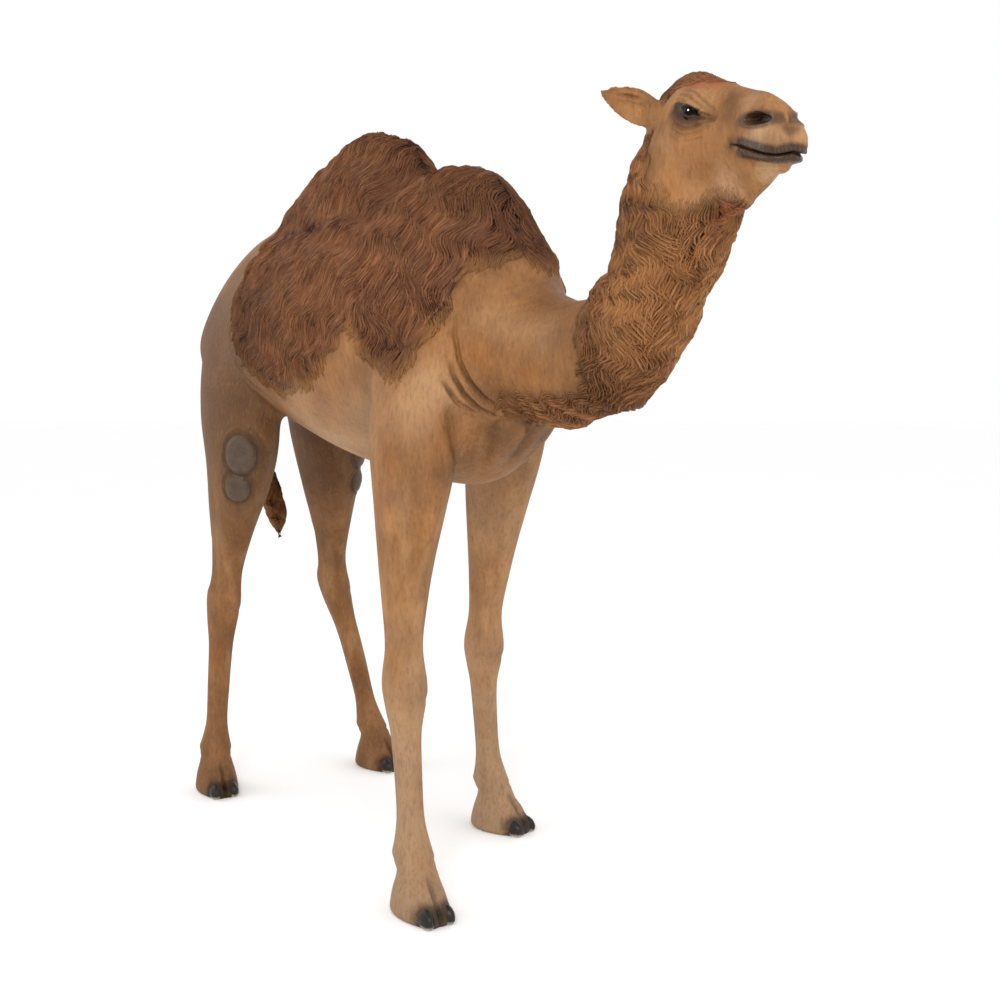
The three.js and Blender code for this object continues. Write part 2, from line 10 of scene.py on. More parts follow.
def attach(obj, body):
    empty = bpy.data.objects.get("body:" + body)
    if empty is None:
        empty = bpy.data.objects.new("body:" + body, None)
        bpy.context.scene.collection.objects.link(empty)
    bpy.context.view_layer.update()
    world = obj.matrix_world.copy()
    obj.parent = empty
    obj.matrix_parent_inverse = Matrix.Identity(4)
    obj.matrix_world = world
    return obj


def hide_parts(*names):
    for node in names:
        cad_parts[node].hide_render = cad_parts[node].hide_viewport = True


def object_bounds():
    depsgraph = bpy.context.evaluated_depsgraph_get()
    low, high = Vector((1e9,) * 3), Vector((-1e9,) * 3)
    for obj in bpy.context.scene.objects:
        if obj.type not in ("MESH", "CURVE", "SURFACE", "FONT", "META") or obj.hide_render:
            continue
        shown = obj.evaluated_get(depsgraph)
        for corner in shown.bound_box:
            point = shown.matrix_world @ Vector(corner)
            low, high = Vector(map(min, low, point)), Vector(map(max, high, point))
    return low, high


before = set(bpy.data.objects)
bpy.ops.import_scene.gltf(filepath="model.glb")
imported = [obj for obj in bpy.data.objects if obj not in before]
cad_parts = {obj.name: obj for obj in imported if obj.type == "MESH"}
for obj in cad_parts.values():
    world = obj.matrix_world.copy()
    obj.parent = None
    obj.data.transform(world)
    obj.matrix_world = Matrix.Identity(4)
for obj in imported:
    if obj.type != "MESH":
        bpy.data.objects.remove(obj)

CAD_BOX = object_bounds()
CHANCE = np.random.default_rng(11)

# ---- camera, floor and light ----

CAMERA_AT = (2.6516, -1.74, 1.245)
CAMERA_YAW = math.radians(143.6)
CAMERA_PITCH = math.radians(-4.8)
CAMERA_LENS = 42.48


def linear(code):
    """An sRGB hex colour as a linear RGBA tuple."""
    parts = [int(code[i : i + 2], 16) / 255 for i in (1, 3, 5)]
    return (*[c / 12.92 if c <= 0.04045 else ((c + 0.055) / 1.055) ** 2.4 for c in parts], 1.0)


def add(tree, kind, inputs=None, **settings):
    """A node with its settings.

    inputs maps a socket's name or number to a value, to a node's socket, or to a node, whose first live
    output is then taken."""
    node = tree.nodes.new(kind)
    for name, value in settings.items():
        setattr(node, name, value)
    for name, value in (inputs or {}).items():
        if isinstance(value, bpy.types.Node):
            value = next(socket for socket in value.outputs if socket.enabled)
        if isinstance(value, bpy.types.NodeSocket):
            tree.links.new(value, node.inputs[name])
        else:
            node.inputs[name].default_value = value
    return node


def material(name):
    """A new material and its cleared node tree."""
    made = bpy.data.materials.new(name)
    made.use_nodes = True
    made.node_tree.nodes.clear()
    return made, made.node_tree


def build_stage():
    scene = bpy.context.scene
    lens = bpy.data.cameras.new("camera")
    lens.lens, lens.sensor_width, lens.clip_end = CAMERA_LENS, 36.0, 200.0
    camera = bpy.data.objects.new("camera", lens)
    scene.collection.objects.link(camera)
    ahead = Vector((
        math.cos(CAMERA_YAW) * math.cos(CAMERA_PITCH),
        math.sin(CAMERA_YAW) * math.cos(CAMERA_PITCH),
        math.sin(CAMERA_PITCH),
    ))
    camera.location = CAMERA_AT
    camera.rotation_euler = ahead.to_track_quat("-Z", "Y").to_euler()
    scene.camera = camera

    bpy.ops.mesh.primitive_circle_add(vertices=96, radius=70, fill_type="NGON")
    floor = bpy.context.object
    floor.name = "floor"
    # matt white paint on a studio floor: even and bright, with the faintest clouding
    paint, tree = material("studio_floor_paint")
    place = add(tree, "ShaderNodeTexCoord")
    cloud = add(tree, "ShaderNodeTexNoise", {"Vector": place.outputs["Object"], "Scale": 0.8})
    tone = add(tree, "ShaderNodeMapRange", {"Value": cloud, "To Min": 0.985, "To Max": 1.0})
    shade = add(tree, "ShaderNodeBsdfPrincipled", {"Base Color": tone, "Roughness": 0.85})
    add(tree, "ShaderNodeOutputMaterial", {"Surface": shade})
    floor.data.materials.append(paint)

    world = bpy.data.worlds.new("studio")
    world.use_nodes = True
    world.node_tree.nodes["Background"].inputs["Color"].default_value = linear("#ffffff")
    world.node_tree.nodes["Background"].inputs["Strength"].default_value = 1.0
    scene.world = world
    scene.view_settings.view_transform = "Standard"
    # a lamp: its place and what it looks at in m, its size in m and its power in watts
    for name, at, target, size, power in (
        ("key", (3.6, -3.4, 3.6), (0.2, 0.0, 1.3), 1.8, 105),
        ("fill", (3.2, 2.2, 2.6), (0.3, 0.0, 1.2), 2.6, 16),
        ("rim", (-3.6, -2.6, 3.4), (0.0, 0.0, 1.3), 2.4, 30),
        ("spark", (3.4, -1.7, 2.5), (0.9, -0.1, 1.8), 0.12, 9),
    ):
        lamp = bpy.data.lights.new(name, "AREA")
        lamp.size, lamp.energy = size, power
        holder = bpy.data.objects.new(name, lamp)
        holder.location = at
        holder.rotation_euler = (Vector(target) - Vector(at)).to_track_quat("-Z", "Y").to_euler()
        scene.collection.objects.link(holder)


build_stage()

# ---- shapes through sections ----

AHEAD = 318.38  # how far the middle of the figure's box lies ahead of the zero that its sections use, in mm
SHIFT = np.array([AHEAD, 0.0, 0.0])


def curve(keys, values):
    """A smooth function through (keys[i], values[i])."""
    keys, values = np.asarray(keys, float), np.asarray(values, float)
    if keys[0] > keys[-1]:
        keys, values = keys[::-1], values[::-1]
    count = len(keys)
    before, after = np.maximum(np.arange(count) - 1, 0), np.minimum(np.arange(count) + 1, count - 1)
    slope = (values[after] - values[before]) / (keys[after] - keys[before])

    def at(k):
        i = np.clip(np.searchsorted(keys, k, side="right") - 1, 0, count - 2)
        h = keys[i + 1] - keys[i]
        t = (k - keys[i]) / h
        return (
            values[i] * (2 * t**3 - 3 * t**2 + 1)
            + values[i + 1] * (3 * t**2 - 2 * t**3)
            + slope[i] * h * (t**3 - 2 * t**2 + t)
            + slope[i + 1] * h * (t**3 - t**2)
        )

    return at


def unit(v):
    return v / np.maximum(np.linalg.norm(v, axis=-1, keepdims=True), 1e-9)


SECTION = ("side", "up", "down", "pinch_up", "pinch_down")
DOME_RINGS = 9


def loft(stations, keys, centre, axes, sides, rings, domes=(0, 0)):
    """Points and triangles of a closed body through sections, with a row of SECTION's sizes for each key."""
    value = {name: curve(keys, [s[i] for s in stations]) for i, name in enumerate(SECTION)}
    first, last = keys[0], keys[-1]
    step = (last - first) * 1e-3
    low, high = min(first, last) + abs(step), max(first, last) - abs(step)
    dome = np.arange(1, DOME_RINGS + 1) / (DOME_RINGS + 0.4) * math.pi / 2
    k = np.linspace(first, last, rings)
    scale, push = np.ones(rings), np.zeros(rings)
    if domes[0]:
        k = np.concatenate([np.full(DOME_RINGS, first), k])
        scale = np.concatenate([np.cos(dome)[::-1], scale])
        push = np.concatenate([-domes[0] * np.sin(dome)[::-1], push])
    if domes[1]:
        k = np.concatenate([k, np.full(DOME_RINGS, last)])
        scale = np.concatenate([scale, np.cos(dome)])
        push = np.concatenate([push, domes[1] * np.sin(dome)])

    def along(k):
        inside = np.clip(k, low, high)
        return unit(centre(inside + step / 2) - centre(inside - step / 2))

    middle = centre(k) + along(k) * push[:, None]
    across, upward = axes(k)
    angle = 2 * math.pi * (np.arange(sides) + 0.5) / sides
    c, s = np.cos(angle), np.sin(angle)
    v = {name: f(k)[:, None] for name, f in value.items()}
    pinch = 1 - np.where(s > 0, v["pinch_up"], v["pinch_down"]) * s * s
    x = v["side"] * c * pinch * scale[:, None]
    y = np.where(s > 0, v["up"], v["down"]) * s * scale[:, None]
    body = middle[:, None] + across[:, None] * x[..., None] + upward[:, None] * y[..., None]
    ends = [centre(np.array([first])) - along(np.array([first])) * domes[0],
            centre(np.array([last])) + along(np.array([last])) * domes[1]]
    points = np.concatenate([body.reshape(-1, 3), *ends])
    count = len(k)
    i, j = np.meshgrid(np.arange(count - 1), np.arange(sides), indexing="ij")
    a, b = (i * sides + j).ravel(), (i * sides + (j + 1) % sides).ravel()
    ring = np.arange(sides)
    top = (count - 1) * sides
    tips = [np.stack([np.full(sides, count * sides), (ring + 1) % sides, ring], 1),
            np.stack([np.full(sides, count * sides + 1), top + ring, top + (ring + 1) % sides], 1)]
    faces = np.concatenate([np.stack([a, b, a + sides], 1), np.stack([b, b + sides, a + sides], 1), *tips])
    return points, outward(points, faces)


def outward(points, faces):
    a, b, c = (points[faces[:, i]] for i in range(3))
    return faces if (np.cross(a, b) * c).sum() > 0 else faces[:, ::-1]


def fixed(*vectors):
    """Axes that stay the same along a loft."""
    return lambda k: [np.tile(np.array(v, float), (len(k), 1)) for v in vectors]


X, Y, Z = (1, 0, 0), (0, 1, 0), (0, 0, 1)
SIDES = {"right": -1, "left": 1}

# ---- the figure's sizes, in mm ----

# across X: the back's level, the belly's, the widest level, and the half width there
TRUNK = (
    (-890, 1540, 1362, 1450, 108), (-850, 1582, 1295, 1435, 156), (-780, 1646, 1220, 1415, 207),
    (-640, 1768, 1190, 1415, 240), (-450, 1800, 1205, 1430, 252), (-250, 1815, 1150, 1410, 278),
    (0, 1835, 1085, 1395, 296), (230, 1814, 1048, 1400, 286), (420, 1846, 1032, 1400, 264),
    (560, 1816, 1042, 1390, 226), (680, 1706, 1118, 1370, 172), (770, 1540, 1196, 1350, 124),
    (850, 1460, 1238, 1340, 84),
)
HUMP_TOP = 2005
HUMP_FOOT = 1560
HUMP = (
    (-640, 1776, 66), (-450, 1874, 116), (-270, 1944, 152), (-100, HUMP_TOP - 16, 175), (10, HUMP_TOP, 180),
    (120, HUMP_TOP - 22, 172), (220, 1936, 150), (318, 1850, 104),
)
# the neck's line: X and Z, the half width, and the half depths over and under the line
NECK = (
    (500, 1400, 130, 170, 190), (640, 1385, 142, 175, 182), (770, 1350, 130, 158, 152),
    (895, 1333, 113, 140, 145), (1018, 1354, 106, 128, 135), (1110, 1420, 106, 112, 120),
    (1172, 1515, 104, 105, 114), (1210, 1620, 114, 108, 144), (1234, 1700, 108, 108, 144),
    (1254, 1765, 88, 92, 116),
)
# the skull, in its own frame: X, the crown, the jaw, the half width, the middle level and the pinches
HEAD_AT = np.array([1272.0, -2.0, 1765.0])
HEAD_PITCH, HEAD_YAW, HEAD_ROLL = 11, -15, 3
HEAD = (
    (-92, 96, -95, 62, 0, 0.26, 0.3), (-45, 123, -138, 84, 0, 0.26, 0.3), (15, 127, -158, 86, 0, 0.26, 0.3),
    (70, 115, -160, 80, 5, 0.22, 0.34), (130, 96, -146, 66, 5, 0.22, 0.4), (190, 85, -128, 51, 5, 0.25, 0.42),
    (240, 78, -98, 45, 3, 0.34, 0.36), (286, 62, -70, 44, -8, 0.44, 0.28),
)
HEAD_SWELLS = (
    ((92, 66, 66), (0, 14, 10), 34), ((86, 78, 38), (0, -7, 0), 24), ((50, 84, -60), (0, 12, 0), 62),
    ((178, 60, 38), (0, -8, 0), 42), ((322, 22, -4), (10, 7, -2), 26), ((326, 0, 40), (-13, 0, -4), 28),
    ((282, 36, 40), (0, 6, 4), 26), ((250, 42, -34), (0, -6, 0), 34),
)
EYE_AT, EYE_RADIUS = (86, 60, 46), 21
EAR_AT, EAR_TOWARDS, EAR_FACES = (-36, 68, 40), (-112, 86, 50), (70, 60, -25)
# along the ear: its half width, and how far its two faces stand from the middle plane
EAR = (
    (-20, 20, 15, 15), (12, 27, 9, 17), (40, 35, -9, 16), (62, 36, -10, 15), (90, 30, -7, 12),
    (116, 19, -3, 8), (138, 5, 0, 4),
)
EAR_SPARE = 1.3  # how far an ear's skin stands out all round, so that its rim stays whole
KNEE, HOCK, FETLOCK = 545, 610, 140
# down a leg: Z, the half sizes ahead of and behind its line, and sideways
FORELEG = (
    (1540, 90, 90, 34), (1400, 140, 135, 66), (1250, 150, 145, 84), (1100, 137, 137, 88), (970, 109, 112, 76),
    (850, 84, 84, 63), (740, 64, 62, 53), (640, 52, 52, 46), (KNEE, 66, 62, 54), (490, 56, 52, 48),
    (430, 42, 44, 38), (320, 38, 40, 33), (220, 39, 40, 34), (FETLOCK + 22, 52, 54, 43),
    (FETLOCK - 4, 56, 66, 49), (98, 48, 56, 45),
)
HINDLEG = (
    (1560, 110, 120, 40), (1440, 170, 192, 86), (1320, 185, 202, 102), (1200, 182, 200, 105),
    (1090, 160, 176, 99), (950, 128, 128, 82), (820, 88, 92, 58), (705, 57, 60, 46), (HOCK + 30, 60, 78, 48),
    (HOCK, 66, 80, 50), (545, 56, 62, 46), (470, 44, 46, 38), (330, 40, 41, 34), (220, 39, 40, 33),
    (FETLOCK + 22, 50, 54, 42), (FETLOCK - 4, 56, 66, 48), (98, 48, 56, 44),
)
FOOT_AT = {
    "fore_right": (603, -244, -3), "fore_left": (246, 256, 14), "hind_right": (-560, -272, -8),
    "hind_left": (-475, 272, 8),
}
LEG_LINE = {
    "fore_right": (
        (520, -150, 1540), (535, -178, 1400), (518, -198, 1200), (525, -206, 1050), (514, -220, 800),
        (520, -228, KNEE), (550, -236, 330), (579, -242, FETLOCK),
    ),
    "fore_left": (
        (460, 150, 1540), (432, 178, 1400), (376, 196, 1200), (340, 202, 1050), (282, 208, 800),
        (239, 214, KNEE), (224, 232, 330), (227, 250, FETLOCK),
    ),
    "hind_right": (
        (-620, -120, 1560), (-590, -150, 1400), (-526, -180, 1200), (-496, -195, 1050), (-530, -212, 850),
        (-572, -228, HOCK), (-568, -250, 400), (-570, -268, FETLOCK),
    ),
    "hind_left": (
        (-620, 120, 1560), (-618, 150, 1400), (-634, 176, 1200), (-640, 190, 1050), (-672, 214, 850),
        (-696, 236, HOCK), (-608, 254, 400), (-500, 268, FETLOCK),
    ),
}
FOOT_FRONT, FOOT_BACK, FOOT_HALF = 110, 84, 64
FOOT = (
    (118, 44, 54, 43), (90, 54, 62, 50), (55, 82, 74, 59), (26, FOOT_FRONT - 6, FOOT_BACK - 2, FOOT_HALF - 1),
    (8, FOOT_FRONT, FOOT_BACK, FOOT_HALF), (0, FOOT_FRONT - 6, FOOT_BACK - 6, FOOT_HALF - 5),
)
TAIL = (
    ((-880, 0, 1540), 30), ((-925, 8, 1440), 30), ((-926, 28, 1320), 25), ((-900, 44, 1180), 22),
    ((-868, 58, 1040), 23), ((-842, 70, 930), 36), ((-822, 78, 840), 38), ((-806, 82, 770), 16),
)
PADS = (("upper", 1083, (64, 52, 26), 13), ("lower", 985, (48, 42, 22), 10))
PAD_FACES = (0.6, 0.8)


def turned(axis, degrees):
    """The matrix of a turn about X, Y or Z."""
    c, s = math.cos(math.radians(degrees)), math.sin(math.radians(degrees))
    i, j = {"x": (1, 2), "y": (2, 0), "z": (0, 1)}[axis]
    m = np.eye(3)
    m[i, i] = m[j, j] = c
    m[i, j], m[j, i] = -s, s
    return m


SKULL = turned("z", HEAD_YAW) @ turned("y", HEAD_PITCH) @ turned("x", HEAD_ROLL)


def from_skull(points):
    """Points of the skull's frame, in the figure's."""
    return np.asarray(points, float) @ SKULL.T + HEAD_AT - SHIFT


def to_skull(points):
    return (points - HEAD_AT + SHIFT) @ SKULL


def basis(x, z):
    """A frame's axes as columns, from the ways that its X and its Z look."""
    x, z = unit(np.array(x, float)), np.array(z, float)
    y = unit(np.cross(z, x))
    return np.stack([x, y, np.cross(x, y)], 1)


def mirrored(p, side):
    return np.array([p[0], p[1] * SIDES[side], p[2]], float)


def to_left(points):
    """Points with their Y turned to the left."""
    return np.abs(points) * (0, 1, 0) + points * (1, 0, 1)


def neck_line(k):
    keys = np.arange(len(NECK))
    return np.stack([curve(keys, [s[0] for s in NECK])(k), 0 * k, curve(keys, [s[1] for s in NECK])(k)], -1)


def neck_axes(k):
    inside = np.clip(k, 0.01, len(NECK) - 1.01)
    ahead = unit(neck_line(inside + 0.01) - neck_line(inside - 0.01))
    side = np.tile([0.0, 1.0, 0.0], (len(k), 1))
    return side, np.cross(ahead, side)


def leg_line(name):
    points = [*LEG_LINE[name], (*FOOT_AT[name][:2], 98)]
    x, y = (curve([p[2] for p in points], [p[i] for p in points]) for i in (0, 1))
    return lambda z: np.stack([x(z), y(z), z], -1)


def foot_place(name, points):
    """Points of a foot's own frame, in the figure's."""
    x, y, turn = FOOT_AT[name]
    return np.asarray(points, float) @ turned("z", turn).T + np.array([x, y, 0.0]) - SHIFT


def trunk():
    middle = curve([s[0] for s in TRUNK], [s[3] for s in TRUNK])
    rows = [(half, back - mid, mid - belly, 0.3, 0.06) for _, back, belly, mid, half in TRUNK]
    return loft(
        rows,
        [s[0] for s in TRUNK],
        lambda x: np.stack([x, 0 * x, middle(x)], -1),
        fixed(Y, Z),
        90,
        110,
        (36, 20),
    )


def hump():
    rows = [(half, top - HUMP_FOOT, 100, 0.32, 0) for _, top, half in HUMP]
    return loft(
        rows,
        [s[0] for s in HUMP],
        lambda x: np.stack([x, 0 * x, 0 * x + HUMP_FOOT], -1),
        fixed(Y, Z),
        72,
        60,
        (90, 50),
    )


def neck():
    rows = [(s[2], s[3], s[4], 0, 0) for s in NECK]
    return loft(rows, list(range(len(NECK))), neck_line, neck_axes, 72, 90, (0, 30))


def head():
    level = curve([s[0] for s in HEAD], [s[4] for s in HEAD])
    rows = [(half, top - mid, mid - low, up, down) for _, top, low, half, mid, up, down in HEAD]
    points, faces = loft(
        rows,
        [s[0] for s in HEAD],
        lambda x: np.stack([x, 0 * x, level(x)], -1),
        fixed(Y, Z),
        128,
        120,
        (25, 46),
    )
    moved = points.copy()
    beside = to_left(points)
    for at, by, reach in HEAD_SWELLS:
        share = np.exp(-((beside - at) ** 2).sum(1) / reach**2)[:, None]
        moved += share * np.stack(
            [0 * points[:, 0] + by[0], np.sign(points[:, 1]) * by[1], 0 * points[:, 0] + by[2]], 1
        )
    return from_skull(moved) + SHIFT, faces


def ear(side):
    rows = [(wide, front, back, 0, 0) for _, wide, front, back in EAR]
    points, faces = loft(
        rows, [s[0] for s in EAR], lambda x: np.stack([x, 0 * x, 0 * x], -1), fixed(Y, Z), 40, 50, (0, 3)
    )
    axes = basis(mirrored(EAR_TOWARDS, side), mirrored(EAR_FACES, side))
    points = from_skull(points @ axes.T + mirrored(EAR_AT, side)) + SHIFT
    faces = outward(points, faces)
    a, b, c = (points[faces[:, i]] for i in range(3))
    normals = np.zeros_like(points)
    for i in range(3):
        np.add.at(normals, faces[:, i], np.cross(b - a, c - a))
    return points + EAR_SPARE * unit(normals), faces


def leg(name):
    stations = FORELEG if name.startswith("fore") else HINDLEG
    rows = [(half, front, back, 0, 0) for _, front, back, half in stations]
    return loft(rows, [s[0] for s in stations], leg_line(name), fixed(Y, X), 48, 120, (30, 20))


def foot(name):
    rows = [(half, front, back, 0, 0) for _, front, back, half in FOOT]
    points, faces = loft(
        rows, [s[0] for s in FOOT], lambda z: np.stack([0 * z, 0 * z, z], -1), fixed(Y, X), 64, 40
    )
    return foot_place(name, points) + SHIFT, faces


def tail():
    keys = list(range(len(TAIL)))
    axis = [curve(keys, [s[0][c] for s in TAIL]) for c in range(3)]
    rows = [(s[1], s[1], s[1], 0, 0) for s in TAIL]
    return loft(rows, keys, lambda k: np.stack([f(k) for f in axis], -1), fixed(Y, X), 24, 60, (0, 20))


# ---- meshes ----

MM = 0.001


def made(name, points, faces):
    """A new smooth-shaded mesh object from points in mm."""
    mesh = bpy.data.meshes.new(name)
    mesh.from_pydata((points * MM).tolist(), [], faces.tolist())
    mesh.shade_smooth()
    thing = bpy.data.objects.new(name, mesh)
    bpy.context.scene.collection.objects.link(thing)
    return thing


def joined(name, shells):
    """One object of several closed bodies, in the figure's place."""
    points, faces, count = [], [], 0
    for p, f in shells:
        points.append(p - SHIFT)
        faces.append(f + count)
        count += len(p)
    return made(name, np.concatenate(points), np.concatenate(faces))


def applied(thing):
    """Turns an object's modifiers into its plain mesh."""
    graph = bpy.context.evaluated_depsgraph_get()
    mesh = bpy.data.meshes.new_from_object(thing.evaluated_get(graph))
    old = thing.data
    thing.modifiers.clear()
    thing.data = mesh
    bpy.data.meshes.remove(old)
    mesh.shade_smooth()
    return thing


def fused(thing, cell):
    """Fuses overlapping closed bodies into one shell, by cells of the given size in mm."""
    step = thing.modifiers.new("fuse", "REMESH")
    step.mode, step.voxel_size, step.adaptivity = "VOXEL", cell * MM, 0
    return applied(thing)


def read(items, field, width):
    data = np.empty(len(items) * width, np.float32)
    items.foreach_get(field, data)
    return data.reshape(-1, width).astype(float)


def points_of(mesh):
    return read(mesh.vertices, "co", 3) / MM


SPARE = 0.3  # how far the figure stays inside the box of the CAD bodies, in mm


def held(points):
    """Keeps points in mm inside the box of the CAD bodies, and lets the soles lie on its floor."""
    low, high = (np.array(corner) / MM for corner in CAD_BOX)
    return np.clip(points, low + (SPARE, SPARE, 0.0), high - SPARE)


def move_to(mesh, points):
    mesh.vertices.foreach_set("co", (points * MM).astype(np.float32).ravel())
    mesh.update()


def normals_of(mesh):
    return read(mesh.vertex_normals, "vector", 3)


class Net:
    """A mesh's edges, for spreading and averaging values over its points."""

    def __init__(self, mesh):
        pairs = np.empty(len(mesh.edges) * 2, np.int32)
        mesh.edges.foreach_get("vertices", pairs)
        self.a, self.b = pairs.reshape(-1, 2).T
        self.size = len(mesh.vertices)
        self.count = np.maximum(np.bincount(np.concatenate([self.a, self.b]), minlength=self.size), 1)

    def mean(self, values):
        if values.ndim == 2:
            return np.stack([self.mean(column) for column in values.T], 1)
        total = np.bincount(self.a, values[self.b], self.size)
        total += np.bincount(self.b, values[self.a], self.size)
        return total / self.count

    def spread(self, mask, rings, keep=0.92):
        for _ in range(rings):
            wide = mask.copy()
            np.maximum.at(wide, self.a, keep * mask[self.b])
            np.maximum.at(wide, self.b, keep * mask[self.a])
            mask = wide
        return self.mean(self.mean(mask))


def fill_creases(thing, sharp, rings, rounds):
    """Rounds the hollows where one form meets another. sharp is the hollow that counts as a crease, in mm."""
    mesh = thing.data
    net, points, normals = Net(mesh), points_of(mesh), normals_of(mesh)
    hollow = ((net.mean(points) - points) * normals).sum(1)
    mask = net.spread(np.clip(hollow / sharp, 0, 1), rings)[:, None]
    for _ in range(rounds):
        points += 0.6 * mask * (net.mean(points) - points)
    for _ in range(2):
        points += 0.4 * (net.mean(points) - points)
    move_to(mesh, points)


def triangles_of(mesh):
    mesh.calc_loop_triangles()
    data = np.empty(len(mesh.loop_triangles) * 3, np.int32)
    mesh.loop_triangles.foreach_get("vertices", data)
    return data.reshape(-1, 3)


def quartered(thing, chosen):
    """Splits the faces between chosen points into quarters."""
    work = bmesh.new()
    work.from_mesh(thing.data)
    flags = chosen.tolist()
    edges = [e for e in work.edges if flags[e.verts[0].index] and flags[e.verts[1].index]]
    bmesh.ops.subdivide_edges(work, edges=edges, cuts=1, use_grid_fill=True)
    work.to_mesh(thing.data)
    work.free()
    thing.data.shade_smooth()


# ---- carving ----

def near(points, path, reach):
    """How far points lie from a path, infinite beyond the reach, and how far along it, from 0 to 1."""
    path = np.asarray(path, float)
    distance, share = np.full(len(points), np.inf), np.zeros(len(points))
    inside = np.flatnonzero(((points > path.min(0) - reach) & (points < path.max(0) + reach)).all(1))
    p = points[inside]
    runs = np.linalg.norm(np.diff(path, axis=0), axis=1)
    begun, total = np.concatenate([[0], np.cumsum(runs)]), runs.sum()
    best, where = np.full(len(p), np.inf), np.zeros(len(p))
    for i, (a, b) in enumerate(zip(path[:-1], path[1:])):
        t = np.clip(((p - a) @ (b - a)) / max(runs[i] ** 2, 1e-9), 0, 1)
        d = np.linalg.norm(p - a - t[:, None] * (b - a), axis=1)
        closer = d < best
        best[closer], where[closer] = d[closer], (begun[i] + t[closer] * runs[i]) / total
    distance[inside], share[inside] = best, where
    return distance, share


def laid(path, tree, step=5.0):
    """A path in finer steps, each laid on the nearest point of a surface."""
    path = np.asarray(path, float)
    finer = [path[:1]]
    for a, b in zip(path[:-1], path[1:]):
        count = max(int(np.linalg.norm(b - a) / step), 1)
        finer.append(a + (b - a) * (np.arange(1, count + 1) / count)[:, None])
    return np.array([tree.find_nearest(Vector(p))[0] for p in np.concatenate(finer)])


def carve_path(points, normals, path, depth, width, lips=0.0, ends=0.12):
    """Sinks a groove along a path, with raised lips beside it, and fades it out at its ends."""
    d, t = near(points, path, width * 5)
    fade = np.clip(np.minimum(t, 1 - t) / max(ends, 1e-6), 0, 1) ** 0.7 if ends else 1.0
    with np.errstate(invalid="ignore", over="ignore"):
        shape = -depth * np.exp(-((d / width) ** 2)) + lips * np.exp(-(((d - 2.1 * width) / width) ** 2))
    shape = np.where(np.isfinite(d), shape * fade, 0)
    points += normals * shape[:, None]


def raise_at(points, normals, at, height, reach):
    share = np.exp(-((points - np.asarray(at, float)) ** 2).sum(1) / reach**2)
    points += normals * (height * share)[:, None]


def both(path):
    """A path on the left and its mirror image on the right."""
    path = np.asarray(path, float)
    return [path, path * (1, -1, 1)]


EYE_LOOKS = (0.42, 0.89, 0.12)
MOUTH_PATH = (
    (207, 47, -13), (227, 41, -17), (256, 39, -22), (290, 38, -26), (314, 32, -28), (329, 16, -27),
    (335, 0, -26), (329, -16, -27), (314, -32, -28), (290, -38, -26), (256, -39, -22), (227, -41, -17),
    (207, -47, -13),
)


def eye_frame(side):
    out = unit(mirrored(EYE_LOOKS, side))
    up = unit(np.array([0.22, 0.0, 1.0]) - out * (np.array([0.22, 0.0, 1.0]) @ out))
    ahead = np.cross(up, out) * -SIDES[side]
    return mirrored(EYE_AT, side), out, up, ahead * np.sign(ahead[0])


EYE_HALF, LID_HIGH, LID_LOW = 20.0, 6.5, 8.0


def eye_opening(q, side):
    """For points of the skull's frame: how far inside the eye's opening, how far from its middle and up."""
    centre, out, up, ahead = eye_frame(side)
    r = q - centre
    far = np.maximum(np.linalg.norm(r, axis=1), 1.0)
    a, b = (r @ ahead) * EYE_RADIUS / far, (r @ up) * EYE_RADIUS / far
    arch = np.clip(1 - (a / EYE_HALF) ** 2, -1, 1)
    inside = np.minimum(LID_HIGH * arch - b, b + LID_LOW * arch)
    inside = np.where(np.abs(a) > EYE_HALF, -np.hypot(np.abs(a) - EYE_HALF, b), inside)
    return np.where((r @ out) > 0, inside, -60.0), far, b


def step_up(x, low, high):
    t = np.clip((x - low) / (high - low), 0, 1)
    return t * t * (3 - 2 * t)


NOSTRIL_AT, NOSTRIL_ALONG, NOSTRIL_HALF = (267, 36, 31), (0.983, -0.183, 0.03), (38.0, 11.5)


def nostril_depth(q, side):
    """1 in the middle of a nostril, 0 on its rim and below 0 outside it, and the way out of it."""
    along = unit(mirrored(NOSTRIL_ALONG, side))
    out = unit(np.cross(along, (0, 0, 1)) * -SIDES[side])
    up = np.cross(out, along) * SIDES[side]
    up = up * np.sign(up[2])
    r = q - mirrored(NOSTRIL_AT, side)
    u, v = (r @ along) / NOSTRIL_HALF[0], (r @ up) / NOSTRIL_HALF[1]
    level = 1 - np.sqrt(np.abs(u) ** 2.2 + (v + 0.25 * np.clip(u, 0, 1)) ** 2)
    return np.where(np.abs(r @ out) < 26, level, -9.0), out


def face_detail(q):
    """Above zero where the eyes, nostrils and lips need the finest skin, in the skull's frame."""
    beside = to_left(q)
    eyes = ((beside - (88, 66, 44)) / (82, 60, 62)) ** 2
    snout = ((beside - (272, 26, 6)) / (84, 60, 66)) ** 2
    return np.maximum(1 - eyes.sum(1), 1 - snout.sum(1))


EAR_FOLD = ((-46, 84, 60), (-70, 94, 72), (-96, 108, 80), (-122, 124, 84))
LID_LINE = ((20, 62, 78), (50, 67, 79), (88, 73, 73), (112, 67, 60), (134, 58, 46))
BROW_LINE = ((30, 58, 90), (60, 62, 90), (92, 64, 83), (120, 60, 67), (143, 53, 52), (156, 49, 38))
TEAR_LINE = ((108, 68, 40), (128, 60, 34), (146, 54, 31), (158, 50, 37))
NOSTRIL_FOLD = ((226, 44, 20), (222, 45, 30), (228, 43, 42), (244, 39, 50), (266, 36, 53), (288, 31, 49))
FACE_LINES = (LID_LINE, BROW_LINE, TEAR_LINE, NOSTRIL_FOLD)
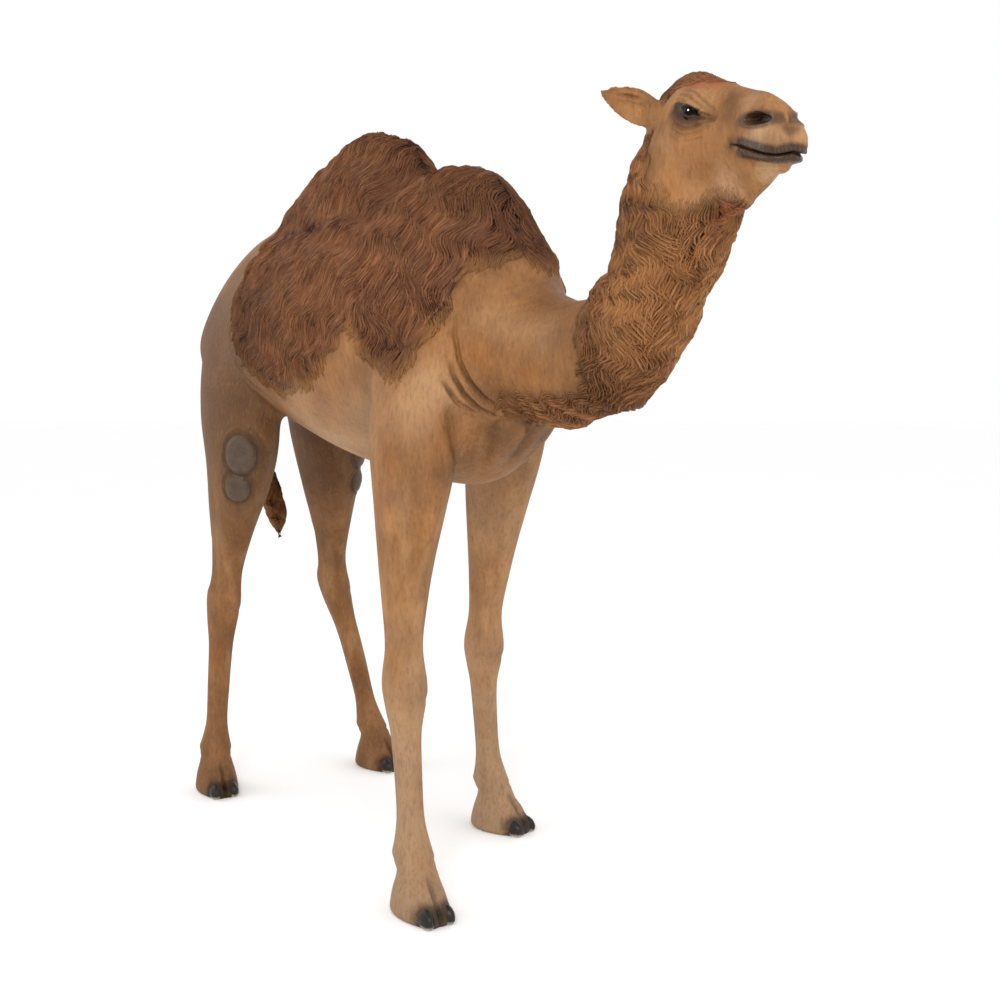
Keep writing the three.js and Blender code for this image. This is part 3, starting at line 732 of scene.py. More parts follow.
# grooves, or ridges where the depth is below zero: a path on the left, then the depth and the width,
# the height of the lips beside it, and the share of it that fades at each end
LIDS = (
    (((18, 62, 70), (50, 69, 73), (90, 75, 66), (110, 68, 56), (132, 58, 44)), -3.4, 8.0, 0, 0.2),
    (((20, 72, 54), (36, 74, 52), (50, 76, 46)), 3.6, 9.0, 0, 0.2),
    (TEAR_LINE, 5.0, 4.6, 2.4, 0.25),
)
WRINKLES = (
    (LID_LINE, 3.0, 3.2, 1.8),
    (BROW_LINE, 1.7, 3.2, 1.2),
    (((48, 54, 98), (84, 57, 95), (116, 55, 79), (142, 50, 62), (160, 45, 50)), 1.1, 3.2, 0.8),
    (((70, 48, 104), (104, 48, 94), (134, 44, 76), (156, 41, 62)), 0.8, 3.2, 0.6),
    (((40, 80, 34), (58, 82, 22), (84, 81, 15), (108, 74, 16), (130, 65, 24), (146, 56, 35)), 3.0, 3.2, 2.4),
    (((52, 84, 16), (76, 84, 4), (104, 76, 3), (130, 65, 11)), 2.0, 3.4, 1.6),
    (((88, 84, -6), (112, 75, -8), (136, 64, 0)), 1.3, 3.6, 1.0),
)


def head_surface():
    points, faces = head()
    return BVHTree.FromPolygons(to_skull(points - SHIFT).tolist(), faces.tolist())


def carve_head(points, normals):
    """Lids, nostrils, lips and folds, in the skull's frame."""
    q, n = to_skull(points), normals @ SKULL
    tree = HEAD_SURFACE

    def carve(q, n, path, *shape):
        carve_path(q, n, laid(path, tree), *shape)

    for path, *shape in LIDS:
        for line in both(path):
            carve(q, n, line, *shape)
    for side in SIDES:
        centre = mirrored(EYE_AT, side)
        inside, far, b = eye_opening(q, side)
        lid = EYE_RADIUS + np.where(b > 0, 5.2, 3.2)
        beyond = np.maximum(-inside, 0)
        outer = far + np.exp(-((beyond / 8) ** 2)) * np.maximum(lid - far, 0) * (far < 60)
        radius = outer + step_up(inside, -0.8, 1.0) * (EYE_RADIUS - 5 - outer)
        touched = (far < 60) & (inside > -40)
        q[touched] = (centre + (q - centre) * (radius / far)[:, None])[touched]
    for path, *shape in WRINKLES:
        for line in both(path):
            carve(q, n, line, *shape)
    for side in SIDES:
        level, out = nostril_depth(q, side)
        rim = 3.4 * np.exp(-(((level + 0.22) / 0.2) ** 2))
        q += out * (rim - 21 * step_up(level, -0.02, 0.5))[:, None]
    for path in both(NOSTRIL_FOLD):
        carve(q, n, path, 2.4, 4.0, 1.2)
    carve(q, n, MOUTH_PATH, 8, 1.9, 0, 0.02)
    middle = np.array(MOUTH_PATH)[1:-1]
    carve(q, n, middle + (0, 0, -11), -4.5, 5.5, 0, 0.06)
    carve(q, n, middle + (0, 0, 6), -3.4, 4.2, 0, 0.06)
    carve(q, n, middle + (-6, 0, -27), 4.0, 6.0, 0, 0.1)
    carve(q, n, middle[1:-1] + (-2, 0, 19), 1.6, 7.0, 0, 0.2)
    carve(q, n, ((308, 2, 34), (320, 1, 16), (332, 0, -4), (337, 0, -20)), 2.6, 5.0, 0.8)
    for path in both(((218, 48, -6), (206, 52, -3), (198, 52, -10), (200, 50, -20), (208, 48, -24))):
        carve(q, n, path, 1.3, 3.6, 0.8)
    raise_at(q, n, (338, 0, 14), -8.5, 19)
    raise_at(q, n, (292, 0, -62), -8.0, 26)
    for path in both(EAR_FOLD):
        carve_path(q, n, path, 3.2, 3.4, 2.4, 0.2)
    for side in SIDES.values():
        raise_at(q, n, (206, side * 48, -12), 3.0, 6)
        raise_at(q, n, (300, side * 26, 4), 3.0, 20)
        raise_at(q, n, (158, side * 44, 60), 2.5, 30)
        raise_at(q, n, (20, side * 92, -40), 4.0, 60)
    return from_skull(q)


# folds where the neck meets the shoulder, and creases of the breast, on the right with Y turned to the left
SHOULDER_FOLDS = (
    (
        (349, 165, 1440), (351, 174, 1399), (363, 169, 1340), (379, 152, 1294), (402, 125, 1252),
        (428, 90, 1222),
    ),
    ((352, 197, 1345), (356, 182, 1300), (364, 158, 1262), (384, 127, 1226), (416, 90, 1202)),
    ((346, 214, 1300), (352, 190, 1262), (366, 162, 1228), (392, 118, 1208)),
)
BREAST_CREASE = (
    (440, 40, 1200), (403, 72, 1204), (389, 84, 1190), (366, 80, 1165), (331, 68, 1127), (284, 58, 1085)
)
BREAST_MIDDLE = ((452, 0, 1200), (414, 0, 1160), (383, 0, 1135), (350, 0, 1108), (300, 0, 1080))
ARM_VALLEY = ((350, 176, 1250), (344, 184, 1212), (342, 184, 1182), (336, 172, 1140), (300, 130, 1095))
FLANK_FOLD = ((-745, 240, 1500), (-737, 253, 1429), (-684, 251, 1367), (-630, 238, 1307), (-561, 232, 1265),
              (-520, 205, 1215))


def carve_body(points, normals, tree):
    def carve(points, normals, path, *shape):
        carve_path(points, normals, laid(np.asarray(path) * MM, tree, 8 * MM) / MM, *shape)

    for fold, depth in zip(SHOULDER_FOLDS, (10.0, 9.0, 7.0)):
        for path in both(fold):
            carve(points, normals, path, depth, 4.6, 5.0, 0.3)
    for path in both(BREAST_CREASE):
        carve(points, normals, path, 9.0, 11.0, 3.0, 0.25)
    carve(points, normals, BREAST_MIDDLE, 7.0, 13.0, 2.0, 0.3)
    for path in both(ARM_VALLEY):
        carve(points, normals, path, 6.0, 15.0, 3.0, 0.35)
    for path in both(FLANK_FOLD):
        carve(points, normals, path, 8.0, 9.0, 5.0, 0.35)
        carve(points, normals, path + (-26, 0, 8), 4.0, 6.0, 2.5, 0.35)
    for side in SIDES.values():
        for at, height, reach in (((330, side * 225, 1290), 7, 90), ((300, side * 262, 1130), 6, 90),
                                  ((-640, side * 235, 1380), 6, 110), ((-780, side * 190, 1300), 8, 110),
                                  ((330, side * 120, 1180), 5, 60)):
            raise_at(points, normals, at, height, reach)
    for name in FOOT_AT:
        carve_leg(points, normals, name, carve)
    for side in SIDES:
        for _, z, half, _ in PADS:
            centre, axes = pad_frame(side, z, half)
            local = (points - centre) @ axes
            r = np.hypot(local[:, 0] / (half[0] * 1.06), local[:, 1] / (half[1] * 1.08))
            ring = 3.6 * np.exp(-(((r - 1.02) / 0.07) ** 2)) - 2.6 * np.exp(-(((r - 1.19) / 0.08) ** 2))
            ring += 1.8 * np.exp(-(((r - 1.34) / 0.05) ** 2)) * (local[:, 0] > 0)
            points -= normals * (ring * (np.abs(local[:, 2]) < 70))[:, None]


def carve_leg(points, normals, name, carve):
    """Joints, tendons, toes and the creases over the foot."""
    fore, line = name.startswith("fore"), leg_line(name)
    joint = KNEE if fore else HOCK
    for way in (1, -1):
        for depth, z, tilt in ((2.2, 120, 8), (1.4, 108, 3)):
            carve_ring(points, normals, line, z, tilt * way, depth, 6.0, (-0.35, way))
        carve_ring(points, normals, line, joint - 38, 7, 0.7, 9.0, (1.0, 0.25 * way))
        z = np.linspace(joint - 90, 190, 9)
        carve(points, normals, line(z) - SHIFT + (-14, way * 33, 0), 4.0, 9.0, 1.5, 0.25)
        if not fore:
            z = np.linspace(joint + 210, joint + 30, 8)
            carve(points, normals, line(z) - SHIFT + (-46, way * 40, 0), 6.0, 14.0, 2.0, 0.3)
    knee = line(np.array([joint + 6.0]))[0] - SHIFT
    raise_at(points, normals, knee + (60, 0, 0), 5.0, 34)
    raise_at(points, normals, knee + (-56, 0, 24), 4.0, 34)
    for y, z, lean in ((-24, 24, 8), (6, 30, -6), (-8, 2, 9), (18, -4, -8), (-20, -26, 5), (8, -34, -5)):
        carve(points, normals, knee + np.array([(58, y - 15, z - lean), (64, y, z), (58, y + 15, z + lean)]),
              2.2, 3.6, 1.6, 0.35)
    cleft = foot_place(name, CLEFT)
    carve(points, normals, cleft, 13, 4.6, 0.0, 0.3)
    carve(points, normals, cleft[2:], 9, 4.0, 0.0, 0.2)
    for way in (1, -1):
        raise_at(points, normals, foot_place(name, [(98, way * 28, 28)])[0], 10.0, 26)
        raise_at(points, normals, foot_place(name, [(64, way * 24, 64)])[0], 5.0, 24)
        for y, lean in ((15, 0), (24, 3)):
            vein = foot_place(
                name, [(52, way * y, 96), (70, way * (y + lean), 76), (86, way * (y + 2 * lean), 56)]
            )
            carve(points, normals, vein, 1.8, 3.2, 1.2, 0.3)


CLEFT = ((52, 0, 98), (60, 0, 84), (72, 0, 66), (88, 0, 46), (102, 0, 27), (108, 0, 10), (104, 0, 0))


def carve_ring(points, normals, line, z, tilt, depth, width, face):
    """A crease round the part of a leg that looks the way `face` points, higher ahead by the tilt."""
    middle = line(np.array([float(z)]))[0] - SHIFT
    d = points - middle
    level = d[:, 2] - tilt * np.clip(d[:, 0] / 50, -1, 1)
    apart = np.hypot(d[:, 0], d[:, 1])
    facing = (d[:, :2] @ unit(np.array(face, float))) / np.maximum(apart, 1)
    window = step_up(facing, 0.2, 0.75) * (apart < 130) * (np.abs(level) < 5 * width)
    shape = np.exp(-((level / width) ** 2)) - 0.5 * np.exp(-(((np.abs(level) - 2.1 * width) / width) ** 2))
    points -= normals * (depth * shape * window)[:, None]


CLAW_AT, CLAW_HALF, CLAW_TURN = (86, 26, 20), (31, 20, 25), 9


def nail_place(name, way):
    """A nail's middle and its axes: ahead, across and upward."""
    turn = turned("z", FOOT_AT[name][2] + way * CLAW_TURN) @ turned("y", 14)
    return foot_place(name, [(CLAW_AT[0], way * CLAW_AT[1], CLAW_AT[2])])[0], turn


def pad_frame(side, z, half, out=13):
    """A leather pad's middle and axes on the thigh: up, across and outward."""
    front, wide = (curve([s[0] for s in HINDLEG], [s[c] for s in HINDLEG])(float(z)) for c in (1, 3))
    reach = np.array([front * PAD_FACES[0], wide * PAD_FACES[1]])
    x, y = np.array([front, wide]) * reach / np.linalg.norm(reach)
    normal = mirrored((*PAD_FACES, 0), side)
    middle = leg_line(f"hind_{side}")(np.array([float(z)]))[0]
    at = middle + mirrored((x, y, 0), side) + normal * (out - half[2])
    return at - SHIFT, basis((0, 0, 1), normal)


HEAD_SURFACE = head_surface()

# ---- where the coat grows, and how it is painted ----

WAVES = [(CHANCE.normal(size=3), CHANCE.uniform(0, 2 * math.pi)) for _ in range(7)]


def cloud(points, size):
    """Smooth noise from -1 to 1 whose patches are about `size` mm across."""
    total = sum(np.sin(points @ (way / size * 2.2) + turn) for way, turn in WAVES)
    return total / math.sqrt(len(WAVES)) / 1.4


COAT_EDGE = curve(
    [
        -800, -760, -735, -691, -629, -538, -497, -348, -239, -142, -66, 2, 32, 63, 101, 176, 241, 284, 315,
        340, 376, 430, 520,
    ],
    [
        1760, 1700, 1560, 1487, 1410, 1345, 1312, 1290, 1304, 1339, 1388, 1436, 1462, 1425, 1360, 1322, 1335,
        1362, 1420, 1545, 1592, 1585, 1560,
    ],
)


OUTSIDE = -60.0  # what a coat's reach says of points that are nowhere near it, in mm


def back_coat(points):
    """How far inside the edge of the long coat of the back and the hump a point lies, in mm."""
    edge = COAT_EDGE(np.clip(points[:, 0], -800, 520)) + 14 * cloud(points, 60)
    inside = np.minimum(points[:, 2] - edge, (points[:, 0] + 790) * 0.8)
    return np.where(points[:, 0] < 500, inside, OUTSIDE)


def neck_share(points):
    """How far along the neck's line a point lies, in stations, and how far over the line."""
    k = np.linspace(0, len(NECK) - 1, 64)
    line = neck_line(k) - SHIFT
    _, up = neck_axes(k)
    share, height = np.zeros(len(points)), np.zeros(len(points))
    for begun in range(0, len(points), 40000):
        p = points[begun : begun + 40000]
        best = ((p[:, None, [0, 2]] - line[None][..., [0, 2]]) ** 2).sum(2).argmin(1)
        share[begun : begun + 40000] = k[best]
        height[begun : begun + 40000] = ((p - line[best]) * up[best]).sum(1)
    return share, height


def neck_coat(points):
    near_neck = (points[:, 0] > 380) & (points[:, 2] > 1120) & (np.abs(points[:, 1]) < 190)
    found = np.full(len(points), OUTSIDE)
    p = points[near_neck]
    q = to_skull(p)
    share, height = neck_share(p)
    wild = 9 * cloud(p, 45)
    start = (p[:, 0] - (722 + 30 * step_up(height, 40, 140))) * (1 - 0.5 * step_up(height, 0, 90)) + wild
    under = np.minimum(1250 + 0.03 * (p[:, 0] - 440) - p[:, 2], 0.5 * (p[:, 0] - 440)) + 0.6 * wild
    low = np.maximum(np.maximum(start, under), 75 * (share - 4.9))
    inside = np.minimum(np.minimum(low, 0.3 * wild - 1.3 * face_edge(q)), off_ears(q))
    found[near_neck] = np.where(share > 0.5, np.minimum(inside, -30 - 0.9 * q[:, 2] + 0.3 * wild), OUTSIDE)
    return found


def face_edge(q):
    """How far points of the skull's frame lie on the smooth side of the lines behind and under the cheek."""
    behind = q[:, 0] - curve(
        [-260, -150, -142, -127, -81, -34, 30, 48, 70, 87, 110],
        [150, 66, 60, 41, 18, -2, -16, -12, -6, 3, 20],
    )(np.clip(q[:, 2], -260, 110))
    under = q[:, 2] - curve(
        [0, 46, 84, 110, 140, 170, 196, 212, 300], [-150, -146, -152, -128, -116, -112, -118, -160, -170]
    )(np.clip(q[:, 0], 0, 300))
    return np.minimum(behind, under)


def off_ears(q):
    """How far a point lies off the bare part of the ears."""
    beside = to_left(q)
    towards = unit(np.array(EAR_TOWARDS, float))
    d, _ = near(beside, [EAR_AT + towards * 22, EAR_AT + towards * 80, EAR_AT + towards * 150], 90)
    return np.minimum(d, 90) - 38


def crown_coat(points):
    """The hair of the crown and the nape: behind the brow, between the ears and behind the cheek."""
    q = to_skull(points)
    front = curve(
        [-90, -60, -54, -47, -41, -26, -12, 0, 12, 26, 41, 47, 54, 60, 90],
        [-60, -20, 3, 18, 50, 90, 106, 118, 106, 90, 50, 18, 3, -20, -60],
    )(np.clip(q[:, 1], -90, 90))
    wild = 3 * cloud(points, 22)
    nape = np.minimum(-2 * face_edge(q), 84 + q[:, 2])
    inside = np.minimum(np.maximum(np.minimum(front - q[:, 0], q[:, 2] - 80), nape) + wild, off_ears(q) - 8)
    return np.where((q[:, 0] > -260) & (q[:, 0] < 130) & (np.abs(q[:, 1]) < 130), inside, OUTSIDE)


def cheek_coat(points):
    """Short hair along the jaw, over the line where the neck's coat ends."""
    q = to_skull(points)
    edge = face_edge(q)
    inside = np.minimum(np.minimum(edge + 6, 34 + 12 * cloud(points, 30) - edge), -84 - q[:, 2])
    return np.where((q[:, 0] > 20) & (q[:, 0] < 230), np.minimum(inside, off_ears(q)), OUTSIDE)


TAIL_REACH = 64  # how far from the tail's line its coat may grow, in mm


def tail_coat(points):
    d, _ = near(points, np.array([at for at, _ in TAIL[3:]]) - SHIFT, 80)
    return np.where(d < TAIL_REACH, 1150 - points[:, 2], OUTSIDE)


# airbrushed dabs: the mask, the place (on both sides where its Y isn't negative), the reach and the strength.
# The shade dabs in the creases, between the forelegs and the chest, under the neck, down the nape and over
# the rump are painted shade as well as airbrushed tone; the warm dabs on the middle of the neck are partly a
# painted highlight, and the pale dab on the left foreleg is painted light over the body's shadow
DABS = (
    ("shade", (480, 40, 1290), 80, 0.5), ("shade", (430, 150, 1240), 50, 0.5),
    ("shade", (240, 170, 1080), 70, 0.5), ("shade", (354, 46, 1127), 60, 0.5),
    ("shade", (262, 228, 530), 40, 0.4), ("shade", (-19, 214, 530), 40, 0.4),
    ("shade", (330, -150, 1090), 46, 0.5), ("shade", (340, -190, 1190), 40, 0.45),
    ("shade", (65, -252, 1297), 46, 0.6), ("shade", (-14, -215, 1180), 46, 0.5),
    ("shade", (752, 104, 1373), 60, 0.4), ("shade", (790, 50, 1500), 80, 0.5),
    ("shade", (830, 60, 1600), 70, 0.45), ("warm", (-1130, -160, 1420), 240, 0.9),
    ("shade", (-1160, -160, 1420), 200, 0.7), ("pale", (40, 214, 930), 110, 0.6),
    ("shade", (250, -250, 1350), 70, 0.3), ("warm", (250, 245, 1400), 80, 0.4),
    ("shade", (-200, -260, 1300), 90, 0.25), ("shade", (20, -250, 1090), 60, 0.35),
    ("shade", (-850, 190, 1380), 170, 0.75), ("shade", (-860, 220, 1180), 190, 0.75),
    ("shade", (-700, 240, 1230), 140, 0.5), ("shade", (560, 70, 1500), 110, 0.6),
    ("shade", (640, 110, 1380), 55, 0.45), ("shade", (540, 150, 1330), 45, 0.35),
    ("shade", (-700, 245, 1040), 110, 0.5), ("shade", (60, -245, 1200), 50, 0.5),
    ("shade", (-640, 240, 950), 90, 0.35), ("shade", (380, 60, 1180), 44, 0.8),
    ("shade", (300, 250, 1080), 40, 0.25), ("shade", (-60, 120, 1900), 170, 0.5),
    ("shade", (200, 90, 1860), 120, 0.4), ("shade", (-500, 120, 1740), 160, 0.3),
    ("shade", (350, 60, 1720), 110, 0.6), ("shade", (430, 60, 1640), 80, 0.5),
    ("pale", (-250, 170, 1150), 170, 0.8), ("pale", (50, 200, 1150), 120, 0.6),
    ("pale", (300, 225, 1230), 90, 0.6), ("pale", (-420, 200, 1210), 90, 0.5),
    ("pale", (0, 0, 1100), 260, 0.6), ("pale", (560, 130, 1400), 70, 0.45),
    ("pale", (440, 150, 1440), 60, 0.35), ("pale", (330, 225, 1290), 50, 0.4),
    ("warm", (330, 170, 1150), 60, 0.6), ("warm", (-560, 230, 1290), 60, 0.4),
    ("warm", (230, 250, 1300), 60, 0.3), ("warm", (-350, 220, 1480), 150, 0.5),
    ("warm", (-100, 220, 1500), 110, 0.4), ("warm", (870, 90, 1400), 110, 0.9),
    ("warm", (924, 70, 1466), 90, 0.9), ("warm", (985, 60, 1545), 70, 0.5),
    ("warm", (840, 90, 1330), 60, 0.4), ("warm", (480, 160, 1500), 80, 0.4),
    ("warm", (-1160, 70, 840), 110, 0.7), ("warm", (-300, 230, 1400), 70, 0.6),
    ("shade", (760, 60, 1250), 110, 0.5), ("shade", (890, 107, 1588), 66, 0.75),
    ("shade", (840, 70, 1500), 60, 0.5), ("shade", (808, 100, 1391), 55, 0.55),
    ("shade", (765, 87, 1310), 50, 0.45), ("shade", (930, 108, 1712), 42, 0.6),
    ("shade", (860, 0, 1640), 100, 0.5), ("shade", (740, 60, 1420), 70, 0.5),
)
# the same in the skull's frame; its shade dabs in the hollows by the eyes and the nostrils, under the jaw and
# in the mouth's corners are painted shade, and so is the dark dab in each mouth corner
HEAD_DABS = (
    ("shade", (170, 34, 66), 20, 0.75), ("shade", (180, 40, 40), 22, 0.7), ("shade", (322, 6, 16), 13, 1.0),
    ("shade", (219, 46, 26), 14, 0.8), ("shade", (300, 20, 44), 14, 0.3), ("shade", (258, 44, 16), 16, 0.35),
    ("shade", (140, 56, 34), 14, 0.7), ("shade", (60, 84, 10), 22, 0.4), ("pale", (290, 36, 4), 30, 1.0),
    ("pale", (325, 16, 0), 20, 0.9), ("pale", (262, 40, -2), 20, 0.8), ("pale", (60, 92, -60), 70, 0.4),
    ("pale", (290, 20, -62), 34, 0.95), ("pale", (180, 30, -90), 40, 0.6), ("warm", (40, 90, -70), 60, 0.7),
    ("warm", (110, 52, 92), 34, 0.6), ("red", (176, 30, -138), 22, 0.6), ("red", (90, 20, 112), 34, 0.6),
    ("red", (60, 40, 100), 22, 0.5), ("shade", (6, 88, 20), 18, 0.5), ("shade", (206, 50, -14), 15, 1.0),
    ("dark", (206, 50, -12), 6, 0.7), ("shade", (2, 96, -90), 14, 0.6), ("shade", (56, 94, -142), 20, 0.4),
    ("pale", (220, 30, 66), 26, 0.4), ("red", (150, 10, -160), 34, 0.8), ("pale", (110, 60, -110), 34, 0.5),
    ("pale", (112, 56, 76), 30, 0.5), ("shade", (-40, 60, 90), 34, 0.7),
)
MASKS = ("shade", "pale", "dark", "warm", "red", "gloss", "wool", "foot", "black")
LID_TOP = curve([10, 26, 50, 90, 107, 127, 145], [58, 64, 65, 57, 48, 38, 31])
LID_FOOT = curve([10, 31, 56, 87, 107, 128, 145], [58, 52, 40, 33, 32, 31, 30])


def masks_at(points):
    """The paint's masks at points in mm, from 0 to 1."""
    q = to_skull(points)
    found = {name: np.zeros(len(points)) for name in MASKS}

    def add_mask(mask, share):
        found[mask] = 1 - (1 - found[mask]) * (1 - share)

    for place, dabs in ((points, DABS), (q, HEAD_DABS)):
        beside = to_left(place)
        for mask, at, reach, strength in dabs:
            spot = place if at[1] < 0 else beside
            add_mask(mask, strength * np.exp(-(np.linalg.norm(spot - at, axis=1) / reach) ** 2.6))
    face = np.flatnonzero((q[:, 0] > -160) & (q[:, 0] < 380) & (np.abs(q).max(1) < 400) & (q[:, 2] > -220))
    for name, share in face_masks(q[face]).items():
        whole = np.zeros(len(points))
        whole[face] = share
        add_mask(name, whole)
    found["wool"] = np.maximum.reduce(
        [
            step_up(back_coat(points), -34, 30),
            step_up(neck_coat(points), -34, 34),
            step_up(crown_coat(points), -7, 7),
            step_up(tail_coat(points), 0, 60),
        ]
    )
    behind = points[:, 0] < -250
    legs = step_up(950 - points[:, 2], 0, 600)
    add_mask("pale", 0.7 * legs * ~behind)
    # painted shade over the rear of the body, fading down the hind legs
    rear = step_up(-250 - points[:, 0], 0, 400) * step_up(1720 - points[:, 2], 0, 200)
    add_mask("shade", 0.66 * rear * (1 - 0.55 * step_up(1000 - points[:, 2], 0, 300)))
    streak = cloud(points * (1, 1, 0.22), 26)
    add_mask("shade", 0.22 * step_up(streak, 0.1, 1.1) * step_up(1250 - points[:, 2], 0, 200))
    add_mask("pale", 0.3 * step_up(-streak, 0.1, 1.1) * step_up(1250 - points[:, 2], 0, 200))
    add_mask("shade", 0.3 * step_up(cloud(points, 75), 0.1, 1.2))
    add_mask("warm", 0.55 * step_up(cloud(points + 400, 95), 0.1, 0.9))
    # painted shade round each callus, near black at its edge
    for side in SIDES:
        for _, z, half, _ in PADS:
            d = np.linalg.norm(points - pad_frame(side, z, half)[0], axis=1)
            add_mask("shade", 0.85 * (1 - step_up(d, half[0], half[0] + 34)))
            add_mask("black", 0.35 * (1 - step_up(d, half[0], half[0] + 14)))
    # painted shade down the cleft between the toes, near black towards the floor, and the skin round each
    # nail near black
    for name in FOOT_AT:
        d, _ = near(points, foot_place(name, CLEFT), 60)
        add_mask("shade", 0.8 * np.exp(-((d / 9) ** 2)))
        add_mask("black", 0.8 * np.exp(-((d / 11) ** 2)) * step_up(58 - points[:, 2], 0, 30))
        for way in (1, -1):
            d = np.linalg.norm(points - nail_place(name, way)[0], axis=1)
            add_mask("black", 0.85 * (1 - step_up(d, 23, 42)))
    # painted shade along the creases of the shoulder, breast and flank, and broader down the breast's middle
    # and between each foreleg and the breast
    for fold in (*SHOULDER_FOLDS, BREAST_CREASE, FLANK_FOLD):
        for path in both(fold):
            d, t = near(points, path, 60)
            add_mask("shade", 0.95 * np.exp(-((d / 6) ** 2)) * np.clip(4 * np.minimum(t, 1 - t), 0, 1))
    for fold in (BREAST_MIDDLE, ARM_VALLEY):
        for path in both(fold):
            d, t = near(points, path, 70)
            add_mask("shade", 0.55 * np.exp(-((d / 17) ** 2)) * np.clip(3 * np.minimum(t, 1 - t), 0, 1))
    found["foot"] = np.where(behind, 0.0, np.maximum(step_up(150 - points[:, 2], 0, 110),
                                                      0.75 * step_up(640 - points[:, 2], 0, 340)))
    add_mask("shade", 0.35 * behind * step_up(170 - points[:, 2], 0, 130))
    return found


def face_masks(q):
    """Masks of the lips, nostrils, eyes and ears, in the skull's frame, with painted shade in the nostrils,
    the mouth's slit, the ears' folds and the face's carved lines.
    """
    mouth = np.array(MOUTH_PATH)
    lower, _ = near(q, laid(mouth[1:-1] + (0, 0, -9), HEAD_SURFACE), 40)
    upper, _ = near(q, laid(mouth[1:-1] + (0, 0, 8), HEAD_SURFACE), 40)
    slit, _ = near(q, laid(mouth, HEAD_SURFACE), 40)
    lips = np.maximum(1 - step_up(lower, 7.0, 13.5), 1 - step_up(upper, 4.5, 14.0))
    nose, eyes, rims, wet = (np.zeros(len(q)) for _ in range(4))
    for side in SIDES:
        level, _ = nostril_depth(q, side)
        nose = np.maximum(nose, step_up(level, -0.75, -0.1))
        # near black into each nostril's hollow: painted shade
        rims = np.maximum(rims, 0.75 * step_up(level, 0.0, 0.75))
        wet = np.maximum(wet, step_up(level, -0.7, -0.3))
        s = SIDES[side]
        near_eye = (q[:, 1] * s > 30) & (q[:, 0] > 14) & (q[:, 0] < 142)
        top, foot = LID_TOP(np.clip(q[:, 0], 11, 144)), LID_FOOT(np.clip(q[:, 0], 11, 144))
        ends = step_up(q[:, 0], 16, 34) * (1 - step_up(q[:, 0], 112, 140))
        eyes = np.maximum(
            eyes, near_eye * ends * step_up(top - q[:, 2], -1, 3) * (1 - step_up(foot - q[:, 2], -4, 33))
        )
        inside, far, _ = eye_opening(q, side)
        ring = np.where(far < EYE_RADIUS + 12, 1 - step_up(-inside, 1.0, 4.0), 0)
        rims = np.maximum(rims, ring)
        wet = np.maximum(wet, ring)
    shade = np.maximum(0.55 * np.exp(-((np.minimum(lower, upper) / 15) ** 2)), 0.9 * nose)
    # painted shade along the fold carved in each ear
    for path in both(EAR_FOLD):
        d, _ = near(q, path, 40)
        shade = np.maximum(shade, 0.7 * np.exp(-((d / 4.5) ** 2)))
    # painted shade along the carved lines of the lids, the brow, under the eye and over the nostril
    lines = np.zeros(len(q))
    for path in FACE_LINES:
        for line in both(path):
            d, t = near(q, laid(line, HEAD_SURFACE), 20)
            lines = np.maximum(lines, np.exp(-((d / 2.4) ** 2)) * np.clip(5 * np.minimum(t, 1 - t), 0, 1))
    return {
        "dark": np.maximum(0.92 * lips, 0.5 * nose),
        "gloss": np.maximum(lips, wet),
        "shade": np.maximum(shade, 0.55 * lines),
        # near black over each eye and round its opening, and in the mouth's slit as painted shade
        "black": np.maximum.reduce([0.9 * eyes, rims, 0.85 * np.exp(-((slit / 1.8) ** 2))]),
    }


def paint_points(mesh, points=None):
    """Stores the masks on a mesh as three vector attributes."""
    found = masks_at(points_of(mesh) if points is None else points)
    for i, label in enumerate(("paint_a", "paint_b", "paint_c")):
        store(mesh, label, np.stack([found[n] for n in MASKS[3 * i : 3 * i + 3]], 1))


def store(mesh, name, values):
    layer = mesh.attributes.new(name, "FLOAT_VECTOR", "POINT")
    layer.data.foreach_set("vector", np.asarray(values, np.float32).ravel())


# ---- the skin ----

SKIN_TRIANGLES = 194000
# the cells in mm that fuse the body, and then the body with its head, ears and feet
BODY_CELL, FINE_CELL = 9, 3.6
# for each: the hollow in mm that counts as a crease, the rings of points it spreads over, and the rounds
# of smoothing
BODY_CREASES, FINE_CREASES = (0.9, 7, 45), (0.35, 6, 14)
# how far the skin lies under each coat's tips, in mm, and over how many mm from the coat's edge
COAT_DEPTHS = ((back_coat, 9.0, 60), (neck_coat, 13.0, 70), (crown_coat, 4.5, 18), (tail_coat, 10.0, 80))


def wrapped_ears(thing):
    """Lays the skin of the ears on their own smooth leaves."""
    leaves = joined("leaves", [ear("left"), ear("right")])
    share = step_up(-off_ears(to_skull(points_of(thing.data))), 4, 14)
    group = thing.vertex_groups.new(name="ears")
    for level in np.linspace(0.1, 1, 10):
        group.add(np.flatnonzero((share > level - 0.1) & (share <= level)).tolist(), float(level), "REPLACE")
    wrap = thing.modifiers.new("wrap", "SHRINKWRAP")
    wrap.target, wrap.vertex_group, wrap.wrap_method = leaves, "ears", "NEAREST_SURFACEPOINT"
    applied(thing)
    thing.vertex_groups.clear()
    bpy.data.objects.remove(leaves)
    points, net = points_of(thing.data), Net(thing.data)
    for _ in range(8):
        points += 0.5 * share[:, None] * (net.mean(points) - points)
    move_to(thing.data, points)


